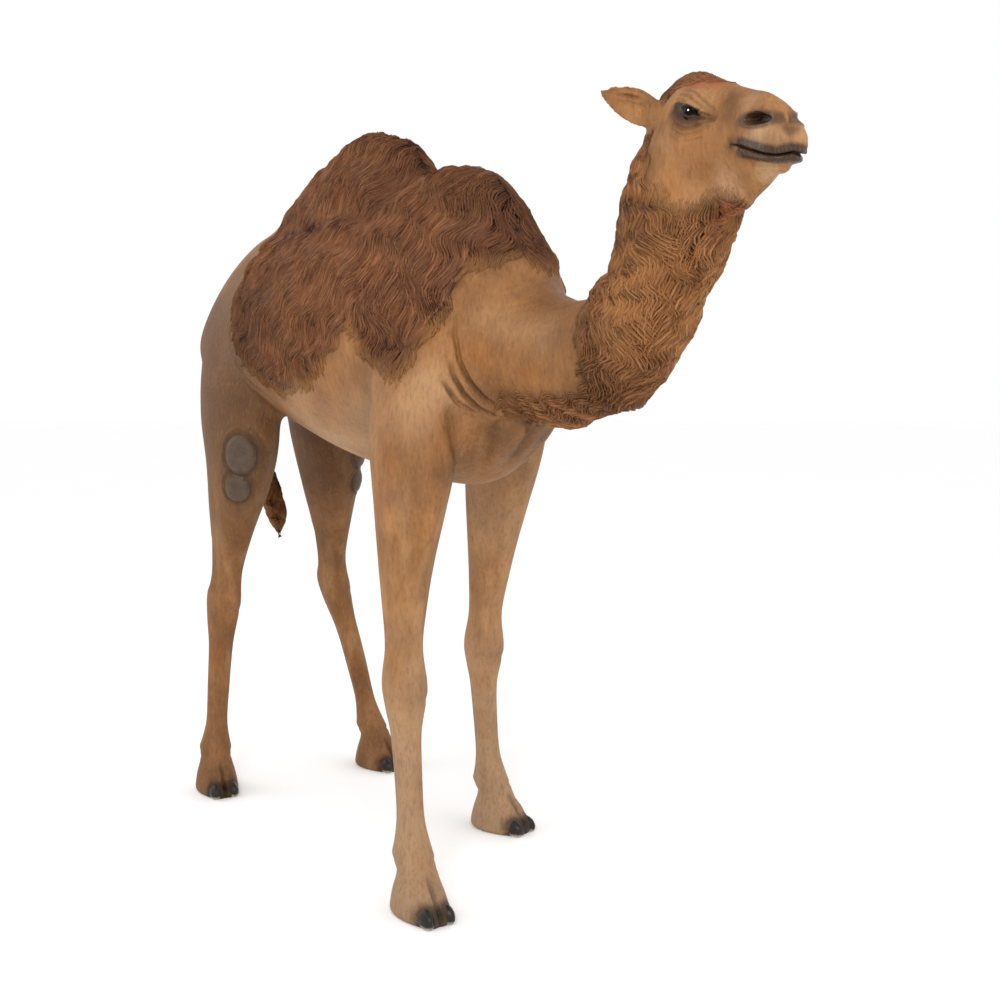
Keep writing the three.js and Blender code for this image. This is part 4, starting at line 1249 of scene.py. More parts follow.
def build_skin():
    whole = joined("skin", [trunk(), hump(), neck(), head(), tail(), *(leg(n) for n in FOOT_AT)])
    fused(whole, BODY_CELL)
    fill_creases(whole, *BODY_CREASES)
    finer = whole.modifiers.new("finer", "SUBSURF")
    finer.levels = finer.render_levels = 1
    applied(whole)
    base = (points_of(whole.data) + SHIFT, triangles_of(whole.data))
    bpy.data.objects.remove(whole)
    whole = joined("skin", [base, head(), ear("left"), ear("right"), *(foot(n) for n in FOOT_AT)])
    fused(whole, FINE_CELL)
    fill_creases(whole, *FINE_CREASES)
    points = points_of(whole.data)
    detail = face_detail(to_skull(points)) > 0
    for fold in (*SHOULDER_FOLDS, FLANK_FOLD):
        for path in both(fold):
            detail |= near(points, path, 16)[0] < 13
    for name in FOOT_AT:
        detail |= near(points, foot_place(name, CLEFT), 16)[0] < 14
    ears = off_ears(to_skull(points)) < -2
    quartered(whole, detail | ears)
    wrapped_ears(whole)
    mesh = whole.data
    points, normals, net = points_of(mesh), normals_of(mesh), Net(mesh)
    paint_points(mesh, points)
    carve_body(points, normals, BVHTree.FromObject(whole, bpy.context.evaluated_depsgraph_get()))
    points = carve_head(points, normals)
    for _ in range(2):
        points += 0.3 * (net.mean(points) - points)
    for inside, depth, reach in COAT_DEPTHS:
        share = step_up(inside(points), -2, reach)
        clumps = 0.5 * depth * (cloud(points, 62) - 0.6) * share
        points -= normals * (depth * share - clumps)[:, None]
    move_to(mesh, held(points))

    q = to_skull(points)
    loose = whole.vertex_groups.new(name="loose")
    detail = (face_detail(q) > 0) | (off_ears(q) < -14)
    face = (face_edge(q) > -4) & (np.linalg.norm(q - (110, 0, -10), axis=1) < 270)
    loose.add(np.flatnonzero(~detail & face).tolist(), 0.5, "REPLACE")
    loose.add(np.flatnonzero(~detail & ~face).tolist(), 1.0, "REPLACE")
    thin = whole.modifiers.new("thin", "DECIMATE")
    thin.decimate_type, thin.vertex_group, thin.vertex_group_factor = "COLLAPSE", "loose", 1.0
    thin.use_collapse_triangulate = True
    thin.ratio = SKIN_TRIANGLES / len(triangles_of(mesh))
    applied(whole)
    whole.vertex_groups.clear()
    return whole


# ---- paint ----

def masks_of(tree):
    """The masks' sockets by name."""
    sockets = {}
    for i, label in enumerate(("paint_a", "paint_b", "paint_c")):
        layer = add(tree, "ShaderNodeAttribute", attribute_name=label)
        parts = add(tree, "ShaderNodeSeparateXYZ", {0: layer.outputs["Vector"]})
        sockets.update(zip(MASKS[3 * i :], parts.outputs))
    return sockets


def washed(tree, colour, washes):
    """Lays washes of paint over a colour.

    A wash has what it follows, the values where it begins and where it is full, how strong it is there,
    what else holds it back, and its own colour."""
    colour = linear(colour) if isinstance(colour, str) else colour
    for follows, begins, full, strength, hold, over in washes:
        share = add(tree, "ShaderNodeMapRange", {0: follows, 1: begins, 2: full, 4: strength})
        if hold is not None:
            share = add(tree, "ShaderNodeMath", {0: share, 1: hold}, operation="MULTIPLY")
        over = linear(over) if isinstance(over, str) else over
        colour = add(tree, "ShaderNodeMix", {0: share, 6: colour, 7: over}, data_type="RGBA")
    return colour


# each mask's colour and its strength at full; the shade and black washes are painted shade as well as
# airbrushed paint, darkening creases, clefts, hollows and the gaps between parts
AIRBRUSH_AND_PAINTED_SHADE = (
    ("pale", "#b8926c", 0.8), ("warm", "#96591f", 0.55), ("shade", "#3e2a1a", 0.7), ("foot", "#83705c", 0.5),
    ("red", "#8c3512", 0.8), ("dark", "#2a1e17", 0.95), ("black", "#0b0807", 0.97),
)
# the hide's clouds, mottling, patches of strokes, dents, fine strokes about 20 mm long, and coarse strokes:
# how wide each is in mm, its detail, and its width over its length down the body
HIDE_NOISES = (
    (150, 3.0, 1.0), (34, 4.0, 0.5), (60, 3.0, 1.0), (9, 3.0, 0.3), (2.6, 2.0, 0.13), (7, 3.0, 0.35)
)


def short_hair(tree, place, masks):
    """The airbrushed ground with its clouds, hair strokes and dabs, some of them painted shade, and the
    height of its strokes.
    """
    clouds, mottle, patches, dents, fine, coarse = (
        add(tree, "ShaderNodeTexNoise", {
            "Vector": add(tree, "ShaderNodeMapping", {"Vector": place, "Scale": (1.0, 1.0, down)}),
            "Scale": 1000 / size,
            "Detail": detail,
        })
        for size, detail, down in HIDE_NOISES
    )
    quiet = add(tree, "ShaderNodeMath", {0: 1.0, 1: masks["black"]}, operation="SUBTRACT")
    patches = add(tree, "ShaderNodeMapRange", {0: patches, 1: 0.42, 2: 0.62})
    cut = add(tree, "ShaderNodeMath", {0: patches, 1: quiet}, operation="MULTIPLY")
    colour = washed(tree, "#81562f", [
        (clouds, 0.32, 0.68, 1.0, None, "#a17042"),
        (mottle, 0.35, 0.65, 0.42, None, "#6d4525"),
        # the masks' washes, with the painted shade of the shade and black masks
        *[(masks[mask], 0.0, 1.0, most, None, code) for mask, code, most in AIRBRUSH_AND_PAINTED_SHADE],
        # a dark wash left in the dents, dark hair strokes, and dry-brushed lighter and duller ones
        (dents, 0.5, 0.36, 0.18, None, "#4a301c"),
        (fine, 0.56, 0.68, 0.28, cut, "#4a301d"),
        (coarse, 0.56, 0.72, 0.08, quiet, "#cfa578"),
        (coarse, 0.44, 0.3, 0.2, quiet, "#4a3322"),
    ])
    height = add(tree, "ShaderNodeMath", {0: coarse, 1: 0.6}, operation="MULTIPLY")
    height = add(tree, "ShaderNodeMath", {0: fine, 1: 0.4, 2: height}, operation="MULTIPLY_ADD")
    return colour, add(tree, "ShaderNodeMath", {0: height, 1: quiet}, operation="MULTIPLY")


def hide_paint():
    """Airbrushed acrylic on glass fibre: a satin tan with soft clouds and fine dark hair strokes in it, and
    painted shade in its creases and hollows.
    """
    paint, tree = material("airbrushed_glass_fibre_with_painted_shade")
    place = add(tree, "ShaderNodeTexCoord").outputs["Object"]
    masks = masks_of(tree)
    colour, height = short_hair(tree, place, masks)
    # the darker ground under the locks: painted shade, so that the gaps between the locks read as shadowed
    # grooves
    colour = washed(tree, colour, [(masks["wool"], 0.0, 1.0, 0.9, None, "#3d2516")])
    # dents about 11 mm across
    dents = add(tree, "ShaderNodeTexNoise", {"Vector": place, "Scale": 1000 / 11, "Detail": 3.0})
    height = add(tree, "ShaderNodeMath", {0: dents, 1: 1.6, 2: height}, operation="MULTIPLY_ADD")
    bump = add(tree, "ShaderNodeBump", {"Height": height, "Strength": 0.8, "Distance": 0.0026})
    wet = add(tree, "ShaderNodeMapRange", {0: masks["gloss"], 3: 0.58, 4: 0.26})
    shade = add(tree, "ShaderNodeBsdfPrincipled", {
        "Base Color": colour, "Roughness": wet, "IOR": 1.48, "Specular IOR Level": 0.22, "Normal": bump,
    })
    add(tree, "ShaderNodeOutputMaterial", {"Surface": shade})
    return paint


def wool_paint():
    """Dry-brushed acrylic on carved locks: dark in the grooves and lighter and warmer on the ridges, partly
    dry-brushing and partly painted shade and painted highlight.
    """
    paint, tree = material("carved_coat_with_painted_shade_and_highlight")
    place = add(tree, "ShaderNodeTexCoord").outputs["Object"]
    masks = masks_of(tree)
    ground, _ = short_hair(tree, place, masks)
    lock = add(tree, "ShaderNodeAttribute", attribute_name="lock").outputs["Vector"]
    tint, ridge, red = add(tree, "ShaderNodeSeparateXYZ", {0: lock}).outputs
    # hair lines about 2 mm apart along each lock
    along = add(tree, "ShaderNodeUVMap", uv_map="Lock")
    lie = add(tree, "ShaderNodeMapping", {"Vector": along, "Scale": (2.0, 12.0, 1.0)})
    hair = add(tree, "ShaderNodeTexNoise", {"Vector": lie, "Scale": 1.0, "Detail": 2.0, "Distortion": 0.3})
    proud = add(tree, "ShaderNodeMath", {0: hair, 1: 0.5}, operation="SUBTRACT")
    level = add(tree, "ShaderNodeMath", {0: proud, 1: 0.9, 2: ridge}, operation="MULTIPLY_ADD")
    clouds = add(tree, "ShaderNodeTexNoise", {"Vector": place, "Scale": 1000 / 120, "Detail": 3.0})
    middle = washed(tree, "#4a2715", [
        (clouds, 0.35, 0.65, 1.0, None, "#673a21"),
        (red, 0.0, 1.0, 0.85, None, "#7b4622"),
    ])
    high = washed(
        tree, "#7f5134", [(tint, 0.0, 1.0, 1.0, None, "#a8714a"), (red, 0.0, 1.0, 0.7, None, "#cf965f")]
    )
    golden = add(tree, "ShaderNodeMapRange", {0: red, 1: 0.1, 2: 0.85, 3: 0.1, 4: 0.55})
    # near black deep in the grooves and lighter up the ridges: painted shade and painted highlight over the
    # dry-brushing; the shade wash is painted shade too, and the warm wash partly a painted highlight
    colour = washed(tree, "#150b05", [
        (level, 0.15, 0.6, 1.0, None, middle),
        (level, 0.55, 1.15, 0.95, None, high),
        (masks["shade"], 0.0, 1.0, 0.6, None, "#2c1a10"),
        (masks["warm"], 0.0, 1.0, 1.0, golden, "#bd8350"),
        (masks["red"], 0.0, 1.0, 0.6, None, "#93401f"),
        (level, 0.5, 0.05, 0.7, None, "#1d0e07"),
    ])
    # the ground between the locks darker where they are low: painted shade
    colour = washed(tree, ground, [
        (level, 0.55, 0.1, 0.14, None, "#5a3a20"),
        (masks["wool"], 0.0, 1.0, 1.0, None, colour),
    ])
    bump = add(tree, "ShaderNodeBump", {"Height": hair, "Strength": 0.6, "Distance": 0.003})
    shade = add(tree, "ShaderNodeBsdfPrincipled", {
        "Base Color": colour, "Roughness": 0.55, "IOR": 1.48, "Specular IOR Level": 0.2, "Normal": bump,
    })
    add(tree, "ShaderNodeOutputMaterial", {"Surface": shade})
    return paint


def eye_paint():
    """Clear-coated black enamel: a deep wet gloss, a brown iris just showing, and a painted catch-light."""
    paint, tree = material("clear_coated_enamel")
    place = add(tree, "ShaderNodeTexCoord").outputs["Object"]
    # flecks about 4 mm across
    fleck = add(tree, "ShaderNodeTexNoise", {"Vector": place, "Scale": 240.0})
    washes = [(fleck, 0.0, 1.0, 0.35, None, "#170d07")]
    # the painted catch-light: a painted highlight, a small white glint on each eye
    for side in SIDES:
        centre, out, up, ahead = eye_frame(side)
        spot = from_skull((centre + unit(out + 0.02 * up + 0.06 * ahead) * EYE_RADIUS)[None])[0] * MM
        apart = add(tree, "ShaderNodeVectorMath", {0: place, 1: spot.tolist()}, operation="DISTANCE")
        washes.append((apart, 0.0022, 0.0014, 1.0, None, "#f4f1ec"))
    colour = washed(tree, "#060404", washes)
    shade = add(tree, "ShaderNodeBsdfPrincipled", {
        "Base Color": colour, "Roughness": 0.12, "IOR": 1.5, "Specular IOR Level": 0.06,
    })
    add(tree, "ShaderNodeOutputMaterial", {"Surface": shade})
    return paint


def horn_paint():
    """Satin enamel on the nails: near black, rubbed pale where the tip meets the floor."""
    paint, tree = material("rubbed_satin_enamel")
    place = add(tree, "ShaderNodeTexCoord").outputs["Object"]
    level = add(tree, "ShaderNodeSeparateXYZ", {0: place}).outputs["Z"]
    # grain about 8 mm across, which breaks the rubbed edge
    grain = add(tree, "ShaderNodeTexNoise", {"Vector": place, "Scale": 120.0, "Detail": 3.0})
    rubbed = add(tree, "ShaderNodeMath", {0: grain, 1: 0.008, 2: level}, operation="MULTIPLY_ADD")
    colour = washed(tree, "#14100e", [
        (grain, 0.0, 1.0, 1.0, None, "#2c2520"),
        (rubbed, 0.016, 0.006, 1.0, None, "#b5aaa0"),
    ])
    bump = add(tree, "ShaderNodeBump", {"Height": grain, "Strength": 0.2, "Distance": 0.001})
    shade = add(tree, "ShaderNodeBsdfPrincipled", {
        "Base Color": colour, "Roughness": 0.34, "IOR": 1.5, "Specular IOR Level": 0.25, "Normal": bump,
    })
    add(tree, "ShaderNodeOutputMaterial", {"Surface": shade})
    return paint


def leather_paint():
    """Grey-brown acrylic over a stippled callus: matt, scaly, darker in its creases."""
    paint, tree = material("stippled_callus_paint")
    place = add(tree, "ShaderNodeTexCoord").outputs["Object"]
    # scales about 7 mm across, and clouds about 33 mm across
    scales = add(tree, "ShaderNodeTexVoronoi", {"Vector": place, "Scale": 150.0}, feature="DISTANCE_TO_EDGE")
    scales = scales.outputs["Distance"]
    broad = add(tree, "ShaderNodeTexNoise", {"Vector": place, "Scale": 30.0, "Detail": 3.0})
    colour = washed(tree, "#3a2c22", [
        (broad, 0.0, 1.0, 1.0, None, "#65513f"),
        (scales, 0.12, 0.0, 0.5, None, "#33291f"),
    ])
    bump = add(tree, "ShaderNodeBump", {"Height": scales, "Strength": 0.35, "Distance": 0.0015})
    shade = add(tree, "ShaderNodeBsdfPrincipled", {
        "Base Color": colour, "Roughness": 0.5, "IOR": 1.46, "Specular IOR Level": 0.3, "Normal": bump,
    })
    add(tree, "ShaderNodeOutputMaterial", {"Surface": shade})
    return paint


# ---- the coat ----

LOCK_RINGS = (0.0, 0.14, 0.3, 0.46, 0.62, 0.78, 0.91, 1.0)
# across a lock: how far aside and how high each point stands, for locks of three ridges and of two
LOCK_SHAPES = (
    (
        (-0.5, 0.0), (-0.35, 0.8), (-0.18, -0.1), (0.0, 1.0), (0.18, -0.1), (0.35, 0.85), (0.5, 0.0),
        (0.0, -0.6),
    ),
    (
        (-0.5, 0.0), (-0.36, 0.85), (-0.2, -0.15), (-0.03, 0.95), (0.14, 0.0), (0.33, 0.9), (0.5, 0.0),
        (0.0, -0.6),
    ),
)
FLAT_SHAPE = ((-0.5, 0.0), (-0.2, 0.9), (0.22, 1.0), (0.5, 0.0), (0.0, -0.5))


def lock_template(name, shape):
    """One lock as a closed strip. Its points keep their place along, across and above the lock in `local`."""
    u = np.array(LOCK_RINGS)
    wide = np.interp(u, (0, 0.25, 0.6, 0.85, 1.0), (0.5, 0.95, 1.0, 0.55, 0.06))
    high = np.interp(u, (0, 0.2, 0.5, 0.8, 1.0), (0.35, 0.8, 1.0, 0.75, 0.1))
    local = np.array([(a, v * w, h * t) for a, w, t in zip(u, wide, high) for v, h in shape])
    sides, rings = len(shape), len(u)
    faces = [
        (i * sides + j, i * sides + (j + 1) % sides, (i + 1) * sides + (j + 1) % sides, (i + 1) * sides + j)
        for i in range(rings - 1)
        for j in range(sides)
    ]
    faces += [tuple(range(sides))[::-1], tuple(range((rings - 1) * sides, rings * sides))]
    mesh = bpy.data.meshes.new(name)
    mesh.from_pydata((local * 0.05).tolist(), [], faces)
    layer = mesh.attributes.new("local", "FLOAT_VECTOR", "POINT")
    layer.data.foreach_set("vector", local.astype(np.float32).ravel())
    return bpy.data.objects.new(name, mesh)


def coat_tree():
    """Lays a lock at each root: bent in waves, pressed onto the skin, its tip lifted."""
    tree = bpy.data.node_groups.new("coat_locks", "GeometryNodeTree")
    for label, kind in (
        ("Roots", "Geometry"), ("Lock", "Object"), ("Skin", "Object"), ("Wave height", "Float"),
        ("Wave length", "Float"), ("Finish", "Material"),
    ):
        tree.interface.new_socket(label, in_out="INPUT", socket_type=f"NodeSocket{kind}")
    tree.interface.new_socket("Coat", in_out="OUTPUT", socket_type="NodeSocketGeometry")
    given = add(tree, "NodeGroupInput").outputs
    lock = add(tree, "GeometryNodeObjectInfo", {"Object": given["Lock"]}).outputs["Geometry"]
    skin = add(tree, "GeometryNodeObjectInfo", {"Object": given["Skin"]}).outputs["Geometry"]
    scattered = add(tree, "GeometryNodeInstanceOnPoints", {"Points": given["Roots"], "Instance": lock})
    real = add(tree, "GeometryNodeRealizeInstances", {"Geometry": scattered})
    local, size, bend, root, flow, out = (
        add(tree, "GeometryNodeInputNamedAttribute", {"Name": name}, data_type="FLOAT_VECTOR").outputs[0]
        for name in ("local", "size", "bend", "root", "flow", "out")
    )
    sizes = {"wave length": given["Wave length"], "wave height": given["Wave height"]}
    for names, layer in ((("along", "across", "above"), local), (("length", "width", "depth"), size),
                         (("phase", "curl", "lift"), bend)):
        sizes.update(zip(names, add(tree, "ShaderNodeSeparateXYZ", {0: layer}).outputs))
    # how far a point runs along the lie of the coat, how far it stands aside of it, and how high
    for name, operation, *terms in (
        ("begun", "SUBTRACT", "along", 0.2),
        ("run", "MULTIPLY", "begun", "length"),
        ("waves", "DIVIDE", "run", "wave length"),
        ("turns", "ADD", "waves", "phase"),
        ("angle", "MULTIPLY", "turns", 2 * math.pi),
        ("sine", "SINE", "angle"),
        ("wave", "MULTIPLY", "sine", "wave height"),
        ("squared", "MULTIPLY", "along", "along"),
        ("curled", "MULTIPLY", "curl", "squared"),
        ("bent", "ADD", "wave", "curled"),
        ("spread", "MULTIPLY", "across", "width"),
        ("aside", "ADD", "spread", "bent"),
        ("thick", "MULTIPLY", "above", "depth"),
        ("lifted", "MULTIPLY", "lift", "squared"),
        ("height", "ADD", "thick", "lifted"),
    ):
        terms = {i: sizes.get(term, term) for i, term in enumerate(terms)}
        sizes[name] = add(tree, "ShaderNodeMath", terms, operation=operation)
    side = add(tree, "ShaderNodeVectorMath", {0: out, 1: flow}, operation="CROSS_PRODUCT")
    ahead = add(tree, "ShaderNodeVectorMath", {0: flow, "Scale": sizes["run"]}, operation="SCALE")
    aside = add(tree, "ShaderNodeVectorMath", {0: side, "Scale": sizes["aside"]}, operation="SCALE")
    moved = add(tree, "ShaderNodeVectorMath", {0: ahead, 1: aside}, operation="ADD")
    flat = add(tree, "ShaderNodeVectorMath", {0: root, 1: moved}, operation="ADD")
    touch = add(
        tree, "GeometryNodeProximity", {"Geometry": skin, "Sample Position": flat}, target_element="FACES"
    )
    normal = add(tree, "GeometryNodeInputNormal").outputs[0]
    upward = add(
        tree,
        "GeometryNodeSampleNearestSurface",
        {"Mesh": skin, "Value": normal, "Sample Position": flat},
        data_type="FLOAT_VECTOR",
    )
    upward = add(tree, "ShaderNodeVectorMath", {0: upward.outputs["Value"]}, operation="NORMALIZE")
    raised = add(tree, "ShaderNodeVectorMath", {0: upward, "Scale": sizes["height"]}, operation="SCALE")
    final = add(tree, "ShaderNodeVectorMath", {0: touch.outputs["Position"], 1: raised}, operation="ADD")
    placed = add(tree, "GeometryNodeSetPosition", {"Geometry": real, "Position": final})
    smooth = add(tree, "GeometryNodeSetShadeSmooth", {"Geometry": placed})
    done = add(tree, "GeometryNodeSetMaterial", {"Geometry": smooth, "Material": given["Finish"]})
    add(tree, "NodeGroupOutput", {"Coat": done})
    return tree


class Surface:
    """The skin's triangles, for scattering roots over it."""

    def __init__(self, thing):
        mesh = thing.data
        self.tree = BVHTree.FromObject(thing, bpy.context.evaluated_depsgraph_get())
        self.points, self.normals, self.faces = points_of(mesh), normals_of(mesh), triangles_of(mesh)
        a, b, c = (self.points[self.faces[:, i]] for i in range(3))
        self.area = np.linalg.norm(np.cross(b - a, c - a), axis=1) / 2
        self.centre = (a + b + c) / 3

    def hollow(self, places, steps):
        """How much shorter a lock has to be where its tip would sink into the skin ahead of it, up to 0.6."""
        found = []
        for place in (places + steps) * MM:
            at, normal, _, far = self.tree.find_nearest(Vector(place))
            found.append(far / MM if (at - Vector(place)).dot(normal) > 0 else 0.0)
        return np.clip((np.array(found) - 5) / 30, 0, 0.6)

    def scatter(self, inside, spacing):
        """Even roots where inside(points) is above zero: their places and normals."""
        use = np.flatnonzero(inside(self.centre) > -0.2)
        area = self.area[use]
        tries = int(area.sum() / spacing**2 * 7)
        pick = self.faces[use[CHANCE.choice(len(use), tries, p=area / area.sum())]]
        r = CHANCE.random((tries, 2))
        u = 1 - np.sqrt(r[:, :1])
        v = r[:, 1:] * (1 - u)
        share = np.concatenate([u, v, 1 - u - v], 1)[..., None]
        places, normals = (self.points[pick] * share).sum(1), unit((self.normals[pick] * share).sum(1))
        keep = inside(places) > 0
        places, normals = places[keep], normals[keep]
        _, first = np.unique(np.floor(places / spacing).astype(int), axis=0, return_index=True)
        first = CHANCE.permutation(first)
        return places[first], normals[first]


def flatten(way, normals):
    return unit(way - normals * (way * normals).sum(1, keepdims=True))


def back_flow(p, n):
    side = np.sign(p[:, 1]) * np.clip(np.abs(p[:, 1]) / 25, 0, 1)
    ahead = step_up(p[:, 0], -20, 160) * 0.75
    way = np.stack([-0.55 + ahead, side * (0.35 + 0.8 * np.clip(n[:, 2], 0, 1)), -1.0 + 0 * side], 1)
    way[:, 0] += 0.22 * cloud(p, 150)
    return flatten(way, n)


def back_phase(p):
    return (-0.3 * p[:, 0] + 0.5 * np.abs(p[:, 1]) - 0.85 * p[:, 2]) / 116 + 0.55 * cloud(p, 190)


def back_unwrap(p):
    angle = np.arctan2(p[:, 1], p[:, 2] - 1250)
    return np.stack([p[:, 0] / 1300, angle / 3.4], 1)


def neck_flow(p, n):
    share, _ = neck_share(p)
    ahead = unit(neck_line(np.clip(share + 0.05, 0, 9)) - neck_line(np.clip(share - 0.05, 0, 9)))
    _, up = neck_axes(share)
    low = step_up(share, 2.0, 4.5)[:, None]
    way = -ahead - (0.45 * low + 0.1) * up + 0.25 * cloud(p, 70)[:, None] * np.cross(ahead, n)
    return flatten(way, n)


def neck_phase(p):
    share, height = neck_share(p)
    steps = np.linalg.norm(np.diff(neck_line(np.arange(len(NECK))), axis=0), axis=1)
    run = np.interp(share, np.arange(len(NECK)), np.concatenate([[0], np.cumsum(steps)]))
    return -run / 84 + 0.7 * cloud(p, 110) - height / 300


def neck_unwrap(p):
    share, height = neck_share(p)
    return np.stack([share / 9, np.arctan2(p[:, 1], height) / (2 * math.pi)], 1)


def crown_flow(p, n):
    q = to_skull(p)
    low = step_up(70 - q[:, 2], 0, 60) + step_up(-q[:, 0], 20, 70)
    way = np.stack(
        [
            -1.0 + 0.3 * low,
            0.5 * np.sign(q[:, 1]) * np.clip(np.abs(q[:, 1]) / 40, 0, 1) * (1 - 0.5 * low),
            -0.2 - 1.1 * low,
        ],
        1,
    )
    return flatten(way @ SKULL.T, n)


def crown_phase(p):
    q = to_skull(p)
    return -(q[:, 0] + q[:, 2]) / 42 + 0.5 * cloud(p, 50)


def cheek_phase(p):
    q = to_skull(p)
    return -(q[:, 0] + q[:, 2]) / 28 + 0.5 * cloud(p, 40)


def crown_unwrap(p):
    q = to_skull(p)
    return np.stack([q[:, 0] / 260, np.arctan2(q[:, 1], q[:, 2]) / 4], 1)


def tail_flow(p, n):
    way = np.tile([0.25, 0.1, -1.0], (len(p), 1)) + 0.3 * cloud(p, 60)[:, None] * np.array([0, 1, 0])
    return flatten(way, n)


def tail_phase(p):
    return -p[:, 2] / 60 + 0.4 * cloud(p, 50)


def tail_unwrap(p):
    return np.stack([-p[:, 2] / 400, np.arctan2(p[:, 1] - 70, p[:, 0] + 1150) / (2 * math.pi)], 1)


def cheek_flow(p, n):
    q = to_skull(p)
    way = np.stack([0.15 - 0.5 * step_up(q[:, 0], 60, 160), 0 * q[:, 0], -1.0 + 0 * q[:, 0]], 1)
    return flatten((way + 0.3 * cloud(p, 40)[:, None] * (1, 0, 0)) @ SKULL.T, n)


# a coat: where it grows, its lie, its waves' phase, its unwrap, the spacing of its roots, a lock's length,
# width and depth, its waves' height and length, the lift of its tip, how red it is painted, and how far
# its edge thins, with all lengths in mm
COATS = {
    "coat_back": (
        back_coat, back_flow, back_phase, back_unwrap, 20, (108, 25, 12.0), (15.0, 116), 2.0, 0.1, 80
    ),
    "coat_neck": (
        neck_coat, neck_flow, neck_phase, neck_unwrap, 17, (90, 28, 19.0), (13.0, 84), 2.0, 0.95, 70
    ),
    "coat_crown": (
        crown_coat, crown_flow, crown_phase, crown_unwrap, 8, (34, 10.5, 3.6), (3.0, 38), 0.2, 0.5, 20
    ),
    "coat_cheek": (
        cheek_coat, cheek_flow, cheek_phase, crown_unwrap, 6.5, (19, 3.4, 0.9), (1.6, 26), 0.2, 0.0, 14
    ),
    "coat_tail": (
        tail_coat, tail_flow, tail_phase, tail_unwrap, 12, (70, 17, 12.0), (9.0, 60), 2.0, 0.95, 90
    ),
}
PIECE_TRIANGLES = 188000


def build_coat(skin, finish):
    surface, tree = Surface(skin), coat_tree()
    templates = [lock_template(f"lock_{i}", shape) for i, shape in enumerate((*LOCK_SHAPES, FLAT_SHAPE))]
    sockets = {i.name: i.identifier for i in tree.interface.items_tree if i.in_out == "INPUT"}
    for name, (inside, flow, phase, unwrap, spacing, size, wave, lift, red, soft) in COATS.items():
        places, normals = surface.scatter(inside, spacing)
        short = name == "coat_cheek"
        sides = len(FLAT_SHAPE if short else LOCK_SHAPES[0])
        per_lock = 2 * (len(LOCK_RINGS) - 1) * sides + 2 * (sides - 2)
        parts = math.ceil(len(places) * per_lock / PIECE_TRIANGLES)
        ways = flow(places, normals)
        hollow = surface.hollow(places, ways * size[0] * 0.8)
        for part in range(parts):
            p, n, tight = places[part::parts], normals[part::parts], hollow[part::parts]
            count = len(p)
            full = step_up(inside(p), -soft * 0.3, soft)
            if name == "coat_tail":
                full *= 0.35 + 0.65 * step_up(p[:, 2], 770, 900)
                tight = 0.45 * step_up(880 - p[:, 2], 0, 110)
            jitter = CHANCE.uniform(0.8, 1.2, (count, 3))
            sizes = np.array(size) * jitter * np.stack(
                [0.5 + 0.5 * full, 0.62 + 0.38 * full, 0.14 + 0.86 * full], 1
            )
            sizes *= (1 - tight)[:, None] ** (1.0, 0.6, 1.0)
            bends = np.stack(
                [
                    phase(p) + CHANCE.normal(0, 0.03, count),
                    CHANCE.normal(0, 0.05, count) * size[0],
                    lift * CHANCE.uniform(0.0, 1.0, count) * full * (1 - tight),
                ],
                1,
            )
            uv = unwrap(p)
            uv = 0.01 + 0.97 * (uv - uv.min(0)) / np.ptp(uv, axis=0)
            roots = made("roots", p, np.zeros((0, 3), int))
            store(roots.data, "root", p * MM)
            store(roots.data, "flow", ways[part::parts])
            store(roots.data, "out", n)
            store(roots.data, "size", sizes * MM)
            store(roots.data, "bend", bends * (1, MM, MM))
            store(roots.data, "mark", np.column_stack([uv, CHANCE.random(count)]))
            grow = roots.modifiers.new("grow", "NODES")
            grow.node_group = tree
            lock = templates[2] if short else templates[part % 2]
            for label, value in (("Lock", lock), ("Skin", skin), ("Wave height", wave[0] * MM),
                                 ("Wave length", wave[1] * MM), ("Finish", finish)):
                grow[sockets[label]] = value
            roots.update_tag()
            applied(roots)
            mesh = roots.data
            move_to(mesh, held(points_of(mesh)))
            roots.name = mesh.name = f"{name}_{part + 1}" if parts > 1 else name
            finish_coat(mesh, red)
            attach(roots, "root")


def finish_coat(mesh, red):
    """Gives a coat piece its maps, its masks and its tints, and drops what only laying it needed."""
    local = read(mesh.attributes["local"].data, "vector", 3)
    mark = read(mesh.attributes["mark"].data, "vector", 3)
    corner = np.empty(len(mesh.loops), np.int32)
    mesh.loops.foreach_get("vertex_index", corner)
    lock_uv = np.stack([local[:, 0], local[:, 1] + 0.5], 1) + np.stack([mark[:, 2] * 7, mark[:, 2] * 3], 1)
    bake_uv = mark[:, :2] + 0.003 * np.stack([local[:, 0], local[:, 1] + 0.5], 1)
    for label, uv in (("OFBake", bake_uv), ("Lock", lock_uv)):
        layer = mesh.uv_layers.new(name=label)
        layer.data.foreach_set("uv", uv[corner].astype(np.float32).ravel())
    for spare in ("local", "mark", "root", "flow", "out", "size", "bend"):
        mesh.attributes.remove(mesh.attributes[spare])
    store(mesh, "lock", np.column_stack([mark[:, 2], local[:, 2], np.full(len(local), red)]))
    paint_points(mesh)


# ---- eyes, nails and pads ----

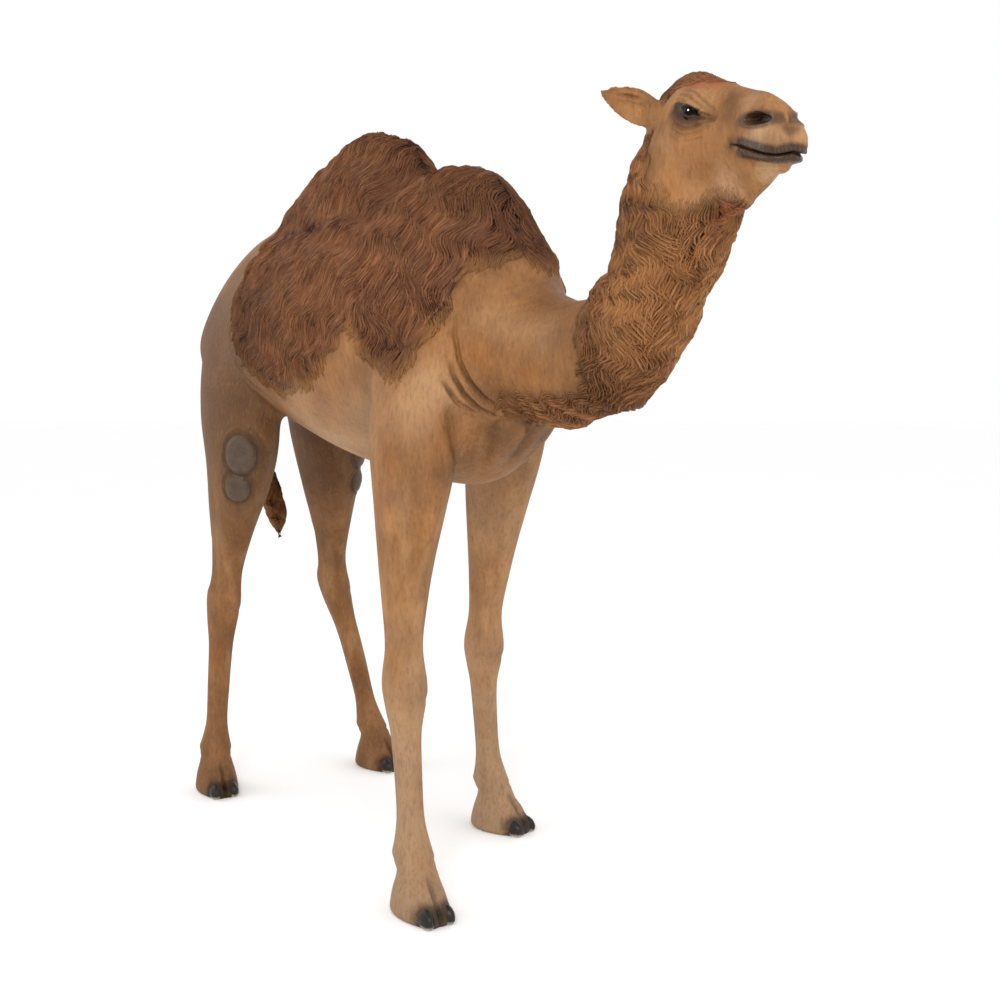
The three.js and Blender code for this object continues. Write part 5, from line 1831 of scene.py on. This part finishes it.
def ball(half, rings=28, sides=36, squash=None):
    """A closed ellipsoid with even rows."""
    turn = np.linspace(0, math.pi, rings + 1)[1:-1]
    angle = 2 * math.pi * np.arange(sides) / sides
    body = np.stack([
        np.outer(np.sin(turn), np.cos(angle)), np.outer(np.sin(turn), np.sin(angle)),
        np.outer(np.cos(turn), np.ones(sides)),
    ], -1).reshape(-1, 3)
    points = np.concatenate([body, [[0, 0, 1], [0, 0, -1]]])
    if squash:
        points = squash(points)
    points = points * np.array(half)
    count = rings - 1
    i, j = np.meshgrid(np.arange(count - 1), np.arange(sides), indexing="ij")
    a, b = (i * sides + j).ravel(), (i * sides + (j + 1) % sides).ravel()
    ring, top = np.arange(sides), (count - 1) * sides
    faces = np.concatenate([
        np.stack([a, b, a + sides], 1), np.stack([b, b + sides, a + sides], 1),
        np.stack([np.full(sides, count * sides), (ring + 1) % sides, ring], 1),
        np.stack([np.full(sides, count * sides + 1), top + ring, top + (ring + 1) % sides], 1),
    ])
    return points, outward(points, faces)


def settle(piece, finish, slot, *nodes):
    piece.data.materials.clear()
    piece.data.materials.append(finish)
    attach(piece, "root")
    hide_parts(*nodes)


def build_eyes(finish):
    for side in SIDES:
        points, faces = ball((EYE_RADIUS, EYE_RADIUS, EYE_RADIUS))
        settle(
            made(f"eyeball_{side}", from_skull(points + mirrored(EYE_AT, side)), faces),
            finish,
            "eye_gloss",
            f"eye_{side}",
        )


def claw(points):
    """Draws an ellipsoid out into a blunt nail, keeled along its top."""
    shaped = points.copy()
    keel = 0.1 * np.clip(1 - np.abs(points[:, 1]) / 0.5, 0, 1) * np.clip(points[:, 0], 0, 1)
    shaped[:, 0] += keel
    shaped[:, 1] *= 1 - 0.16 * np.clip(points[:, 2] + 0.2, 0, 1)
    return shaped


def build_nails(finish):
    for name in FOOT_AT:
        for side, way in SIDES.items():
            points, faces = ball(CLAW_HALF, 22, 28, claw)
            centre, axes = nail_place(name, way)
            points = points @ axes.T + centre
            points[:, 2] = np.maximum(points[:, 2], 0.5)
            settle(
                made(f"claw_{name}_{side}", held(points), faces), finish, "horn_paint", f"{name}_nail_{side}"
            )


def build_pads(finish):
    for side in SIDES:
        for label, z, half, out in PADS:
            points, faces = ball(half, 30, 44)
            centre, axes = pad_frame(side, z, half, out)
            creases = 0.7 * np.sin(np.hypot(points[:, 0], points[:, 1]) / 5.5)
            points = points + unit(points) * creases[:, None]
            settle(
                made(f"callus_{side}_{label}", held(points @ axes.T + centre), faces),
                finish,
                "leather_paint",
                f"stifle_pad_{side}_{label}",
            )


FLESH = ["trunk", "hump", "neck_lower", "neck_upper", "head", "ear_left", "ear_right", "tail", "tail_tuft"]
FLESH += [f"{leg_name}_{part}" for leg_name in FOOT_AT for part in ("upper", "lower", "foot")]

skin = build_skin()
settle(skin, hide_paint(), "hide_paint", *FLESH)
build_coat(skin, wool_paint())
build_eyes(eye_paint())
build_nails(horn_paint())
build_pads(leather_paint())
